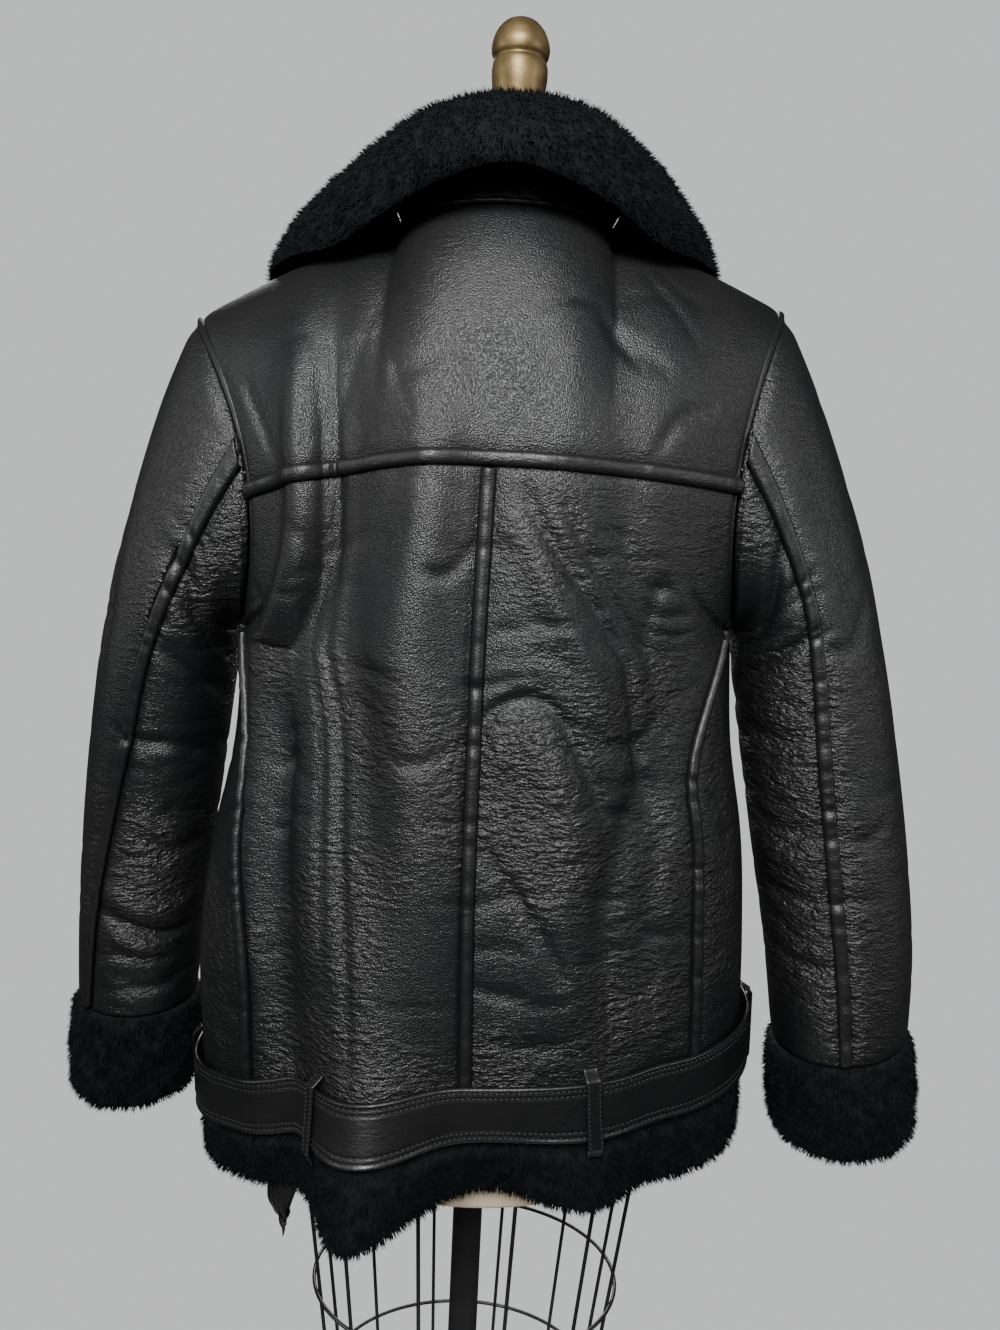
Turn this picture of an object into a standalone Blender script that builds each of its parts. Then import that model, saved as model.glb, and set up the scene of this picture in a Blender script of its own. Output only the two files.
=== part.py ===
# A fur-lined motorcycle jacket on a limbless dress form with a wire skirt cage.
# Metres, +Z up. The origin is on the floor under the pole. The jacket's front
# faces -Y, so +X is the wearer's left. The jacket is a hollow garment of thin
# walls, one solid for each cut piece.

import math

import bmesh
import bpy
import numpy as np
from mathutils import Matrix, Vector

# ---------------------------------------------------------------- sizes
LEATHER = 0.003          # bonded leather wall
FUR = 0.011              # pile and backing together
SEAM_GAP = 0.0003        # between neighbouring pieces
ARMHOLE_GAP = 0.0007     # between body and sleeve
WELT_WIDTH = 0.008
WELT_RISE = 0.0022
YOKE_WELT_WIDTH = 0.0088
WELT_GAP = 0.0010         # a welt lies just off the panels it covers
BACK_HEIGHT = 0.444       # from level 0 to the yoke seam, so a level is this high
YOKE_HEIGHT = 0.200       # from the yoke seam to the shoulder
BELT_WIDTH = 0.042
BELT_THICK = 0.003
BELT_STANDOFF = 0.0053   # the belt rides over the seams under it
LOOP_WIDTH = 0.011
LOOP_THICK = 0.002
LOOP_REST = 0.0012
NECK_HALF = 0.080
NECK_BACK_DEPTH = 0.066
NECK_Y = 0.004
NECK_COLUMN = 0.40       # share of a yoke row that belongs to the neck
YOKE_LEVEL = 1.0         # level of the yoke seam; the shoulder seam is level 2
UNDERARM_LEVEL = 0.70
SIDE_SEAM_TOP = 0.80     # level at which the side panels end on the armhole
HEM_LEVEL = -0.158
BREAK_LEVEL = 0.76       # where the fronts open into lapels
ARMHOLE_AT_YOKE = math.radians(95.0)

# One row for each level of the body below the yoke: the side ends, the heights
# round the body and the depths of back and front.
BODY_COLUMNS = ("level", "x_left", "x_right", "z_left", "z_back", "z_right", "z_front",
                "depth_back", "depth_front", "centre_x")
BODY_ROWS = (
    (-0.158, 0.2215, -0.2195, 0.729, 0.782, 0.766, 0.735, 0.133, 0.146, 0.001),
    (0.00, 0.2235, -0.2165, 0.795, 0.852, 0.857, 0.800, 0.138, 0.146, 0.004),
    (0.20, 0.2275, -0.2125, 0.905, 0.941, 0.940, 0.905, 0.137, 0.144, 0.007),
    (0.40, 0.2160, -0.2040, 1.005, 1.030, 1.025, 1.010, 0.134, 0.146, 0.009),
    (0.55, 0.2000, -0.1900, 1.083, 1.096, 1.098, 1.085, 0.132, 0.149, 0.009),
    (0.70, 0.1950, -0.1830, 1.165, 1.163, 1.180, 1.163, 0.131, 0.147, 0.009),
    (1.00, 0.0, 0.0, 0.0, 1.296, 0.0, 1.290, 0.128, 0.130, 0.007),
)

# Large folds of the hanging body, a row each. The column is the place round the
# body (0 at the centre back, 1 at the wearer's left side, -1 at the right side)
# and the heights are how far the fold stands out at each level.
FOLD_LEVELS = (-0.158, 0.0, 0.25, 0.60, 1.0, 1.45)
FOLD_COLUMNS = ("name", "column_low", "column_high", "width",
                "at_hem", "at_belt", "at_waist", "at_blade", "at_yoke", "at_top")
BACK_FOLDS = (
    ("left_lobe", 0.19, 0.20, 0.110, 0.066, 0.033, 0.017, 0.008, 0.005, 0.000),
    ("left_valley", 0.37, 0.56, 0.070, 0.000, -0.005, -0.010, -0.010, -0.007, 0.000),
    ("left_ridge", 0.49, 0.70, 0.070, 0.002, 0.003, 0.006, 0.008, 0.006, 0.000),
    ("centre_valley", -0.06, 0.02, 0.080, -0.006, 0.000, -0.002, -0.003, -0.002, 0.000),
    ("right_lobe", -0.24, -0.22, 0.110, 0.020, 0.004, 0.005, 0.004, 0.003, 0.000),
    ("right_valley", -0.42, -0.46, 0.080, -0.002, -0.003, -0.007, -0.006, -0.002, 0.000),
)
FRONT_FOLDS = (
    ("left_drape", 0.45, 0.55, 0.110, 0.014, 0.006, 0.007, 0.006, 0.002, 0.000),
    ("right_drape", -0.40, -0.52, 0.110, 0.016, 0.006, 0.006, 0.006, 0.002, 0.000),
)

# The armhole of each side: centre, half vector from the centre to the shoulder
# point, half depth, and how far its front and back edges curve into the body.
ARMHOLE_COLUMNS = ("side", "centre_x", "centre_z", "half_x", "half_z", "half_y", "dish")
ARMHOLES = (
    ("left", 0.2137, 1.2795, 0.0187, 0.1145, 0.075, 0.036),
    ("right", -0.1943, 1.2985, -0.0113, 0.1185, 0.075, 0.027),
)

# Rings of each sleeve from the armhole down: share of the length, centre, half
# vector to the outer edge, half depth and dish.
SLEEVE_COLUMNS = ("share", "x", "y", "z", "half_x", "half_z", "half_y", "dish")
SLEEVES = {
    "left": (
        (0.00, 0.2137, 0.000, 1.2795, 0.0187, 0.1145, 0.075, 0.036),
        (0.11, 0.2285, 0.000, 1.2500, 0.0300, 0.0800, 0.073, 0.023),
        (0.22, 0.2438, -0.001, 1.2010, 0.0422, 0.0380, 0.070, 0.010),
        (0.36, 0.2545, -0.004, 1.1440, 0.0490, 0.0160, 0.065, 0.000),
        (0.52, 0.2665, -0.010, 1.0700, 0.0510, 0.0120, 0.061, 0.000),
        (0.68, 0.2780, -0.018, 0.9930, 0.0510, 0.0090, 0.058, 0.000),
        (0.84, 0.2880, -0.025, 0.9170, 0.0490, 0.0060, 0.056, 0.000),
        (1.00, 0.2935, -0.030, 0.8420, 0.0480, 0.0030, 0.054, 0.000),
    ),
    "right": (
        (0.00, -0.1943, 0.000, 1.2985, -0.0113, 0.1185, 0.075, 0.027),
        (0.11, -0.2120, 0.000, 1.2670, -0.0260, 0.0850, 0.074, 0.017),
        (0.22, -0.2310, 0.001, 1.2180, -0.0440, 0.0420, 0.071, 0.007),
        (0.36, -0.2450, 0.004, 1.1580, -0.0540, 0.0180, 0.067, 0.000),
        (0.52, -0.2610, 0.008, 1.0810, -0.0570, 0.0130, 0.064, 0.000),
        (0.68, -0.2755, 0.012, 1.0050, -0.0575, 0.0100, 0.062, 0.000),
        (0.84, -0.2880, 0.016, 0.9300, -0.0560, 0.0060, 0.059, 0.000),
        (1.00, -0.2955, 0.018, 0.8580, -0.0515, 0.0100, 0.056, 0.000),
    ),
}
# Angle of each sleeve's back seam at even steps down it, in degrees.
SLEEVE_BACK_SEAM = {"left": (92.0, 89.0, 77.0, 64.0, 56.0), "right": (93.0, 101.0, 104.0, 105.0, 103.0)}
CUFF_HEIGHT = {"left": 0.084, "right": 0.076}
CUFF_PROUD = 0.007

# Stations of the collar and lapels from the centre back to the break: the roll
# line, the loose outer edge and how high the fur stands between them.
COLLAR_COLUMNS = ("station", "roll_x", "roll_y", "roll_z", "edge_x", "edge_y", "edge_z", "lift")
COLLAR = {
    "left": (
        (0.0, 0.0040, 0.060, 1.5320, 0.0020, 0.106, 1.4800, 0.008),
        (1.0, 0.0480, 0.052, 1.5250, 0.0610, 0.088, 1.4660, 0.012),
        (2.0, 0.0800, 0.026, 1.5080, 0.1180, 0.056, 1.4400, 0.018),
        (3.0, 0.0920, -0.010, 1.4880, 0.1640, 0.016, 1.4370, 0.020),
        (4.0, 0.0880, -0.048, 1.4540, 0.1860, -0.036, 1.4270, 0.016),
        (5.0, 0.0730, -0.092, 1.4100, 0.1680, -0.086, 1.3700, 0.012),
    ),
    "right": (
        (0.0, 0.0040, 0.060, 1.5320, 0.0020, 0.106, 1.4800, 0.008),
        (1.0, -0.0420, 0.052, 1.5280, -0.0560, 0.088, 1.4680, 0.012),
        (2.0, -0.0730, 0.026, 1.5130, -0.1020, 0.058, 1.4480, 0.018),
        (3.0, -0.0860, -0.010, 1.4930, -0.1380, 0.018, 1.4480, 0.018),
        (4.0, -0.0820, -0.048, 1.4580, -0.1600, -0.034, 1.4420, 0.014),
        (5.0, -0.0660, -0.092, 1.4140, -0.1520, -0.086, 1.3820, 0.012),
    ),
}
LAPEL_GAP = 0.0018
LAPEL_TOP = (1.555, 1.430)     # level of the lapel's top at its roll and at its point
LAPEL_COLUMNS = (0.045, 0.46)  # column of its outer edge at the break and at the point

# Place of the seams between back, side and front panels, by level.
SEAM_LEVELS = (0.0, 0.20, 0.36, 0.58, 0.70, 0.80)
BACK_SEAM = {"left": (0.520, 0.520, 0.575, 0.700, 0.850, 1.000),
             "right": (0.555, 0.555, 0.560, 0.607, 0.780, 1.000)}
FRONT_SEAM = (0.600, 0.605, 0.630, 0.700, 0.850, 1.000)

# Rings of the dress form from its rim up.
FORM_COLUMNS = ("z", "half_x", "back", "front")
FORM_ROWS = (
    (0.745, 0.150, 0.104, 0.100), (0.800, 0.160, 0.110, 0.105), (0.890, 0.163, 0.112, 0.104),
    (1.020, 0.128, 0.088, 0.086), (1.120, 0.137, 0.092, 0.104), (1.210, 0.150, 0.098, 0.120),
    (1.290, 0.156, 0.098, 0.108), (1.350, 0.162, 0.086, 0.082), (1.395, 0.156, 0.066, 0.056),
    (1.4390, 0.126, 0.036, 0.028), (1.4548, 0.090, 0.024, 0.018), (1.4633, 0.056, 0.030, 0.027),
    (1.480, 0.053, 0.045, 0.041), (1.535, 0.050, 0.046, 0.042),
)
FORM_SIDES = 24

FINIAL_PROFILE = ((0.0330, 0.000), (0.0330, 0.008), (0.0180, 0.010), (0.0170, 0.026),
                  (0.0205, 0.034), (0.0215, 0.041), (0.0205, 0.047), (0.0170, 0.0495),
                  (0.0200, 0.053), (0.0212, 0.060), (0.0190, 0.067), (0.0120, 0.0735),
                  (0.0045, 0.0765))
NECK_TOP = 1.535
POLE_RADIUS = 0.0125
BASE_RADIUS = 0.190
BASE_HEIGHT = 0.016
RIM_Z = 0.745
WIRE_RADIUS = 0.0016
WIRES = 12
CAGE_TOP = (0.143, 0.097)      # half width and half depth of the cage at the rim
CAGE_FOOT = (0.104, 0.074)
CAGE_FOOT_Z = 0.400
CAGE_RINGS = (0.605, 0.500, 0.405)

BUCKLE_COLUMN = 0.44           # place of the buckle on the front, wearer's left
TAIL_COLUMN = 0.575
TAIL_FOOT_Z = 0.560
TAIL_WIDTH = 0.038
LOOP_COLUMNS = (("back_left", 0.285, False), ("back_right", -0.255, False),
                ("side_left", 0.985, False), ("side_right", -0.985, False),
                ("front_left", 0.30, True), ("front_right", -0.50, True))
TAB_AXIS_OUT = 0.0029          # pull tab's hinge in front of the slider's body
TAB_LENGTH = 0.034


# ---------------------------------------------------------------- scene
for leftover in list(bpy.data.objects):
    bpy.data.objects.remove(leftover)
part_collection = bpy.data.collections.new("motorcycle_jacket")
bpy.context.scene.collection.children.link(part_collection)


def material(name, colour, roughness, metallic=0.0):
    finish = bpy.data.materials.new(name)
    finish.use_nodes = True
    shader = finish.node_tree.nodes["Principled BSDF"]
    shader.inputs["Base Color"].default_value = (*colour, 1.0)
    shader.inputs["Roughness"].default_value = roughness
    shader.inputs["Metallic"].default_value = metallic
    return finish


BLACK_LEATHER = material("black_leather", (0.012, 0.013, 0.014), 0.45)
BELT_LEATHER = material("belt_leather", (0.010, 0.010, 0.011), 0.38)
BLACK_FUR = material("black_fur", (0.006, 0.007, 0.009), 0.95)
ZIP_TAPE = material("zip_tape", (0.015, 0.015, 0.016), 0.9)
DARK_METAL = material("dark_metal", (0.20, 0.20, 0.21), 0.35, 1.0)
FORM_CLOTH = material("form_cloth", (0.72, 0.60, 0.42), 0.85)
SATIN_BRASS = material("satin_brass", (0.33, 0.27, 0.15), 0.42, 0.8)
BLACK_PAINT = material("black_paint", (0.012, 0.012, 0.012), 0.35)


# ---------------------------------------------------------------- shapes in numbers
class Smooth:
    """A smooth curve through rows of numbers."""

    def __init__(self, knots, values):
        self.knots = np.array(knots, float)
        self.values = np.array(values, float)
        self.slopes = np.gradient(self.values, self.knots, axis=0)

    def __call__(self, at):
        at = min(max(at, self.knots[0]), self.knots[-1])
        i = int(min(max(np.searchsorted(self.knots, at) - 1, 0), len(self.knots) - 2))
        span = self.knots[i + 1] - self.knots[i]
        t = (at - self.knots[i]) / span
        return ((2 * t**3 - 3 * t**2 + 1) * self.values[i] + (t**3 - 2 * t**2 + t) * span * self.slopes[i]
                + (3 * t**2 - 2 * t**3) * self.values[i + 1] + (t**3 - t**2) * span * self.slopes[i + 1])


def mix(a, b, share):
    return a + (b - a) * share


def ramp(low, high, value):
    t = min(max((value - low) / (high - low), 0.0), 1.0)
    return t * t * (3 - 2 * t)


def unit(v):
    return v / np.linalg.norm(v)


def curves(columns, rows, names, last=None):
    rows = rows[:last]
    knots = [row[0] for row in rows]
    return {name: Smooth(knots, [row[columns.index(name)] for row in rows]) for name in names}


BODY = curves(BODY_COLUMNS, BODY_ROWS, ("z_back", "z_front", "depth_back", "depth_front", "centre_x"))
BODY.update(curves(BODY_COLUMNS, BODY_ROWS, ("x_left", "x_right", "z_left", "z_right"), -1))
HOLES = {row[0]: dict(zip(ARMHOLE_COLUMNS[1:], row[1:])) for row in ARMHOLES}
BACK_SEAM_CURVE = {side: Smooth(SEAM_LEVELS, row) for side, row in BACK_SEAM.items()}
FRONT_SEAM_CURVE = Smooth(SEAM_LEVELS, FRONT_SEAM)


def armhole(side, angle):
    """Armhole edge: angle 0 at the shoulder point, a right angle at the back."""
    hole = HOLES[side]
    c, s = math.cos(angle), math.sin(angle)
    outward = 1.0 if side == "left" else -1.0
    return np.array((hole["centre_x"] + hole["half_x"] * c - outward * hole["dish"] * s * s,
                     hole["half_y"] * s, hole["centre_z"] + hole["half_z"] * c))


def armhole_angle(level):
    if level <= YOKE_LEVEL:
        share = (level - UNDERARM_LEVEL) / (YOKE_LEVEL - UNDERARM_LEVEL)
        return mix(math.pi, ARMHOLE_AT_YOKE, max(share, 0.0))
    return ARMHOLE_AT_YOKE * (2.0 - level)


def side_end(side, level, front):
    if level > UNDERARM_LEVEL:
        point = armhole(side, armhole_angle(level))
        return point * (1, -1, 1) if front else point
    return np.array((BODY["x_" + side](level), 0.0, BODY["z_" + side](level)))


FOLDS = {front: [(low, high, width, Smooth(FOLD_LEVELS, heights)) for _, low, high, width, *heights in rows]
         for front, rows in ((False, BACK_FOLDS), (True, FRONT_FOLDS))}


def fold_height(column, level, front):
    height = 0.0
    for low, high, width, amount in FOLDS[front]:
        place = mix(low, high, min(max(level, 0.0), 1.0))
        height += amount(level) * math.exp(-((column - place) / width) ** 2)
    return height * (1 - abs(column) ** 8)


def oval_point(column, level, front):
    """Body below the yoke: half an oval from side to side at each level."""
    side = "left" if column >= 0 else "right"
    end = side_end(side, level, front)
    depth = BODY["depth_front" if front else "depth_back"](level)
    middle = BODY["centre_x"](level)
    start = math.asin(min(abs(end[1]) / depth, 0.97))
    half = (end[0] - middle) / math.cos(start)
    angle = math.pi / 2 - (math.pi / 2 - start) * abs(column)
    share = (math.cos(angle) / math.cos(start)) ** 2
    z_middle = BODY["z_front" if front else "z_back"](level)
    x, y = half * math.cos(angle), depth * math.sin(angle)
    out = unit(np.array((x / half**2, y / depth**2))) * fold_height(column, level, front)
    facing = -1.0 if front else 1.0
    return np.array((middle + x + out[0], facing * (y + out[1]), mix(z_middle, end[2], share)))


NECK_MIDDLE = 0.004
NECK_Z_BACK = 1.4680
NECK_Z_SIDE = {"left": 1.4640, "right": 1.4680}
NECK_Z_FRONT = 1.4050


def neck_point(side, angle, front=False):
    """Neck edge: angle 0 at the centre, a right angle at the shoulder seam."""
    outward = 1.0 if side == "left" else -1.0
    z_middle = NECK_Z_FRONT if front else NECK_Z_BACK
    return np.array((NECK_MIDDLE + outward * (NECK_HALF - 0.004) * math.sin(angle),
                     NECK_Y + (-1 if front else 1) * NECK_BACK_DEPTH * math.cos(angle),
                     mix(z_middle, NECK_Z_SIDE[side], math.sin(angle) ** 2)))


def top_row(column, front):
    side = "left" if column >= 0 else "right"
    place = abs(column)
    if place <= NECK_COLUMN:
        return neck_point(side, math.pi / 2 * place / NECK_COLUMN, front)
    share = (place - NECK_COLUMN) / (1 - NECK_COLUMN)
    neck, tip = neck_point(side, math.pi / 2), armhole(side, 0.0)
    seam = mix(neck, tip, share)
    seam[2] = mix(neck[2], tip[2], share**1.3)
    return seam


def raw_yoke(column, level, front):
    facing = -1.0 if front else 1.0
    t = level - YOKE_LEVEL
    low, top = oval_point(column, YOKE_LEVEL, front), top_row(column, front)
    outer = ramp(0.0, NECK_COLUMN * 1.3, abs(column))
    low_slope = np.array((0.0, facing * 0.006, 0.200))
    top_slope = mix(np.array((0.0, -facing * 0.105, 0.130)),
                    np.array((0.0, -facing * 0.150, 0.030)), outer)
    return ((2 * t**3 - 3 * t**2 + 1) * low + (t**3 - 2 * t**2 + t) * low_slope
            + (3 * t**2 - 2 * t**3) * top + (t**3 - t**2) * top_slope)


def body_point(column, level, front=False):
    """Outer surface of the body: level 0 at the belt, 1 the yoke seam, 2 the shoulder."""
    if level <= YOKE_LEVEL:
        return oval_point(column, level, front)
    point = raw_yoke(column, level, front)
    side = 1.0 if column >= 0 else -1.0
    edge = raw_yoke(side, level, front)
    true_edge = side_end("left" if side > 0 else "right", level, front)
    fold = fold_height(column, level, front) - fold_height(column, 1.0, front) * (2.0 - level) ** 2
    facing = -1.0 if front else 1.0
    return point + (true_edge - edge) * abs(column) ** 4 + np.array((0, facing * fold * 0.5, 0))


def surface_normal(point_at, u, v, low=(-1.0, -9.0), high=(1.0, 9.0), step=0.002):
    u0, u1 = max(u - step, low[0]), min(u + step, high[0])
    v0, v1 = max(v - step, low[1]), min(v + step, high[1])
    return unit(np.cross(point_at(u1, v) - point_at(u0, v), point_at(u, v1) - point_at(u, v0)))


def plain_body_normal(column, level, front=False):
    normal = surface_normal(lambda c, l: body_point(c, l, front), column, level,
                            (-1.0, HEM_LEVEL), (1.0, 2.0))
    return normal if front else -normal


RINGS = {side: curves(SLEEVE_COLUMNS, rows, SLEEVE_COLUMNS[1:]) for side, rows in SLEEVES.items()}


def sleeve_point(side, angle, share):
    ring = {name: curve(share) for name, curve in RINGS[side].items()}
    outward = 1.0 if side == "left" else -1.0
    c, s = math.cos(angle), math.sin(angle)
    below = max(share - 1.0, 0.0) * SLEEVE_DROP[side]
    return np.array((ring["x"] + ring["half_x"] * c - outward * ring["dish"] * s * s,
                     ring["y"] + ring["half_y"] * s, ring["z"] + ring["half_z"] * c)) + below


SLEEVE_DROP = {side: np.array([rows[-1][i] - rows[-2][i] for i in (1, 2, 3)]) / (rows[-1][0] - rows[-2][0])
               for side, rows in SLEEVES.items()}


def plain_sleeve_normal(side, angle, share):
    normal = surface_normal(lambda a, s: sleeve_point(side, a, s), angle, share,
                            (-9.0, 0.0), (9.0, 2.0))
    return -normal if side == "left" else normal


def mitre(side, angle):
    """Shared direction of both walls at the armhole seam."""
    around = angle % (2 * math.pi)
    front = around > math.pi
    around = 2 * math.pi - around if front else around
    if around > ARMHOLE_AT_YOKE:
        share = (math.pi - around) / (math.pi - ARMHOLE_AT_YOKE)
        level = mix(UNDERARM_LEVEL, YOKE_LEVEL, share)
    else:
        level = 2.0 - around / ARMHOLE_AT_YOKE
    column = 1.0 if side == "left" else -1.0
    return unit(plain_body_normal(column, min(level, 1.999), front)
                + plain_sleeve_normal(side, angle, 0.0))


def body_normal(column, level, front=False):
    normal = plain_body_normal(column, level, front)
    seam = ramp(1.90, 2.0, level) * ramp(NECK_COLUMN - 0.1, NECK_COLUMN, abs(column))
    if seam > 0:
        shared = plain_body_normal(column, level, False) + plain_body_normal(column, level, True)
        normal = unit(mix(normal, unit(shared), seam))
    weight = ramp(0.90, 1.0, abs(column)) * ramp(UNDERARM_LEVEL - 0.03, UNDERARM_LEVEL, level)
    if weight <= 0:
        return normal
    side = "left" if column > 0 else "right"
    angle = armhole_angle(max(level, UNDERARM_LEVEL))
    return unit(mix(normal, mitre(side, 2 * math.pi - angle if front else angle), weight))


def sleeve_normal(side, angle, share):
    normal = plain_sleeve_normal(side, angle, share)
    weight = 1 - ramp(0.0, 0.05, share)
    return unit(mix(normal, mitre(side, angle), weight)) if weight > 0 else normal


def on_body(column, level, rise=0.0, front=False):
    return body_point(column, level, front) + body_normal(column, level, front) * rise


# ---------------------------------------------------------------- building walls
def finish(name, mesh_data, finish_material, smooth_angle=math.radians(50)):
    bmesh.ops.recalc_face_normals(mesh_data, faces=mesh_data.faces)
    volume = mesh_data.calc_volume(signed=True)
    if volume < 0:
        bmesh.ops.reverse_faces(mesh_data, faces=mesh_data.faces)
    mesh = bpy.data.meshes.new(name)
    mesh_data.to_mesh(mesh)
    mesh_data.free()
    mesh.materials.append(finish_material)
    mesh.shade_smooth()
    mesh.set_sharp_from_angle(angle=smooth_angle)
    piece = bpy.data.objects.new(name, mesh)
    part_collection.objects.link(piece)
    return piece


def wall(name, across, along, outer_at, inner_at, finish_material, ring=False):
    """A thin wall: a grid shaped by outer_at(u, v), and a second one by inner_at."""
    shell = bmesh.new()
    bmesh.ops.create_grid(shell, x_segments=across, y_segments=along, size=0.5)
    u_layer = shell.verts.layers.float.new("u")
    v_layer = shell.verts.layers.float.new("v")
    for vert in shell.verts:
        vert[u_layer], vert[v_layer] = vert.co.x + 0.5, vert.co.y + 0.5
        vert.co = Vector(outer_at(vert[u_layer], vert[v_layer]))
    if ring:
        bmesh.ops.remove_doubles(shell, verts=shell.verts, dist=0.00001)
    inner = bmesh.ops.extrude_face_region(shell, geom=shell.faces[:], use_keep_orig=True)
    for vert in (item for item in inner["geom"] if isinstance(item, bmesh.types.BMVert)):
        vert.co = Vector(inner_at(vert[u_layer], vert[v_layer]))
    return finish(name, shell, finish_material)


def leather_wall(name, across, along, place_at, finish_material=None, outer=0.0, thick=LEATHER):
    """A wall on the body: place_at(u, v) gives column, level and front or back."""
    def outer_at(u, v):
        column, level, front = place_at(u, v)
        return on_body(column, level, outer, front)

    def inner_at(u, v):
        column, level, front = place_at(u, v)
        return on_body(column, level, outer - thick, front)

    return wall(name, across, along, outer_at, inner_at, finish_material or BLACK_LEATHER)


# ---------------------------------------------------------------- body panels
COLUMN_INSET = 0.0006
LEVEL_INSET = 0.0006
SHOULDER_INSET = 0.0012
ZIP_COLUMN = 0.020
LEVELS = (0.0, 0.06, 0.18, 0.29, 0.38, 0.48, 0.60, 0.70, 0.75, 0.80, 0.86, 0.93, 1.0)
LEVEL_STEPS = len(LEVELS) - 1  # from the belt to the yoke seam
SEAM_STEPS = LEVELS.index(SIDE_SEAM_TOP)
YOKE_STEPS = 7
SIDE_STEPS = 8
SIDE_SIGN = {"left": 1.0, "right": -1.0}


# Columns of half the back: a narrow one under half a welt at each seam, one at the neck.
BACK_COLUMNS = (0.0, 0.042, 0.12, 0.20, 0.30, NECK_COLUMN, 0.55, 0.70, 0.83, 0.958, 1.0)
SIDE_CELL = 0.020         # share of a side panel that is its narrow cell at each seam
BACK_STEPS = len(BACK_COLUMNS) - 1


def back_column(share):
    return BACK_COLUMNS[round(share * BACK_STEPS)]


def seam_cells(u, steps):
    """Evenly spaced columns, but for a narrow one at each seam, just under the welt."""
    number = round(u * steps)
    if number in (0, steps):
        return float(number > 0)
    return mix(SIDE_CELL, 1 - SIDE_CELL, (number - 1) / (steps - 2))


def level_row(share, steps):
    """Level of a row of a panel, closer together round the armhole."""
    return min(max(LEVELS[round(share * steps)], LEVEL_INSET), YOKE_LEVEL - LEVEL_INSET)


def back_yoke():
    def place_at(u, v):
        around = mix(-1, 1, u)
        around = math.copysign(back_column(abs(around)), around)
        return around, mix(YOKE_LEVEL + LEVEL_INSET, 2.0 - SHOULDER_INSET, v), False
    leather_wall("back_yoke", 2 * BACK_STEPS, YOKE_STEPS, place_at)


def back_panel(side):
    def place_at(u, v):
        level = level_row(v, LEVEL_STEPS)
        edge = BACK_SEAM_CURVE[side](level) if level < SIDE_SEAM_TOP else 1.0
        stop = edge - (COLUMN_INSET if level < SIDE_SEAM_TOP else 0.0)
        return SIDE_SIGN[side] * mix(COLUMN_INSET, stop, back_column(u)), level, False
    leather_wall("back_" + side, BACK_STEPS, LEVEL_STEPS, place_at)


def side_panel(side):
    def place_at(u, v):
        around = mix(-1, 1, seam_cells(u, SIDE_STEPS))
        front = around < 0
        seam_level = level_row(v, SEAM_STEPS)
        seam = FRONT_SEAM_CURVE(seam_level) if front else BACK_SEAM_CURVE[side](seam_level)
        seam = min(seam + COLUMN_INSET, 1.0)
        top = mix(UNDERARM_LEVEL, SIDE_SEAM_TOP - 0.004, abs(around))
        column = 1 - abs(around) * (1 - seam)
        return SIDE_SIGN[side] * column, seam_level * top / SIDE_SEAM_TOP, front
    leather_wall("side_" + side, SIDE_STEPS, SEAM_STEPS, place_at)


def front_edge(level):
    """Column of the fronts' free edge: the zip, then the line of the lapel."""
    return mix(ZIP_COLUMN, NECK_COLUMN + 0.01, max(level - BREAK_LEVEL, 0.0) / (2.0 - BREAK_LEVEL))


def front_panel(side):
    seam_share = LEVEL_STEPS / (LEVEL_STEPS + YOKE_STEPS)

    def place_at(u, v):
        if v <= seam_share:
            level = level_row(v / seam_share, LEVEL_STEPS)
        else:
            level = mix(YOKE_LEVEL, 2.0 - SHOULDER_INSET, (v - seam_share) / (1 - seam_share))
        stop = FRONT_SEAM_CURVE(level) - COLUMN_INSET if level < SIDE_SEAM_TOP else 1.0
        return SIDE_SIGN[side] * mix(front_edge(level), stop, u), level, True
    leather_wall("front_" + side, 7, LEVEL_STEPS + YOKE_STEPS, place_at)


# ---------------------------------------------------------------- seam welts
def column_scale(column, level, front=False):
    step = 0.01 if column < 0.98 else -0.01
    return np.linalg.norm(body_point(column + step, level, front) - body_point(column, level, front)) / 0.01


def strip_rise(u):
    return WELT_RISE * (1 - 0.45 * abs(2 * u - 1) ** 2)


def yoke_welt():
    def place(u, v, rise):
        level = YOKE_LEVEL + (u - 0.5) * YOKE_WELT_WIDTH / (YOKE_HEIGHT if u > 0.5 else BACK_HEIGHT)
        around = mix(-1, 1, v)
        return on_body(math.copysign(min(back_column(abs(around)), 0.992), around), level, rise)
    wall("yoke_welt", 2, 2 * BACK_STEPS, lambda u, v: place(u, v, WELT_GAP + strip_rise(u)),
         lambda u, v: place(u, v, WELT_GAP), BLACK_LEATHER)


def vertical_welt(name, column_at, levels, steps):
    def place(u, v, rise):
        level = min(max(LEVELS[round(v * steps)], levels[0]), levels[1])
        column = column_at(level)
        column += (u - 0.5) * WELT_WIDTH / column_scale(column, level)
        return on_body(column, level, rise)
    wall(name, 2, steps, lambda u, v: place(u, v, WELT_GAP + strip_rise(u)),
         lambda u, v: place(u, v, WELT_GAP), BLACK_LEATHER)


# ---------------------------------------------------------------- collar and lapels
# One curve runs all round the collar, so that it has no corner at the centre back.
COLLAR_ROWS = [(-row[0], *row[1:]) for row in COLLAR["right"][:0:-1]] + list(COLLAR["left"])
COLLAR_STATIONS = [row[0] for row in COLLAR_ROWS]
ROLL_LINE = Smooth(COLLAR_STATIONS, [row[1:4] for row in COLLAR_ROWS])
EDGE_LINE = Smooth(COLLAR_STATIONS, [row[4:7] for row in COLLAR_ROWS])
LIFT_LINE = Smooth(COLLAR_STATIONS, [row[7] for row in COLLAR_ROWS])


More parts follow.
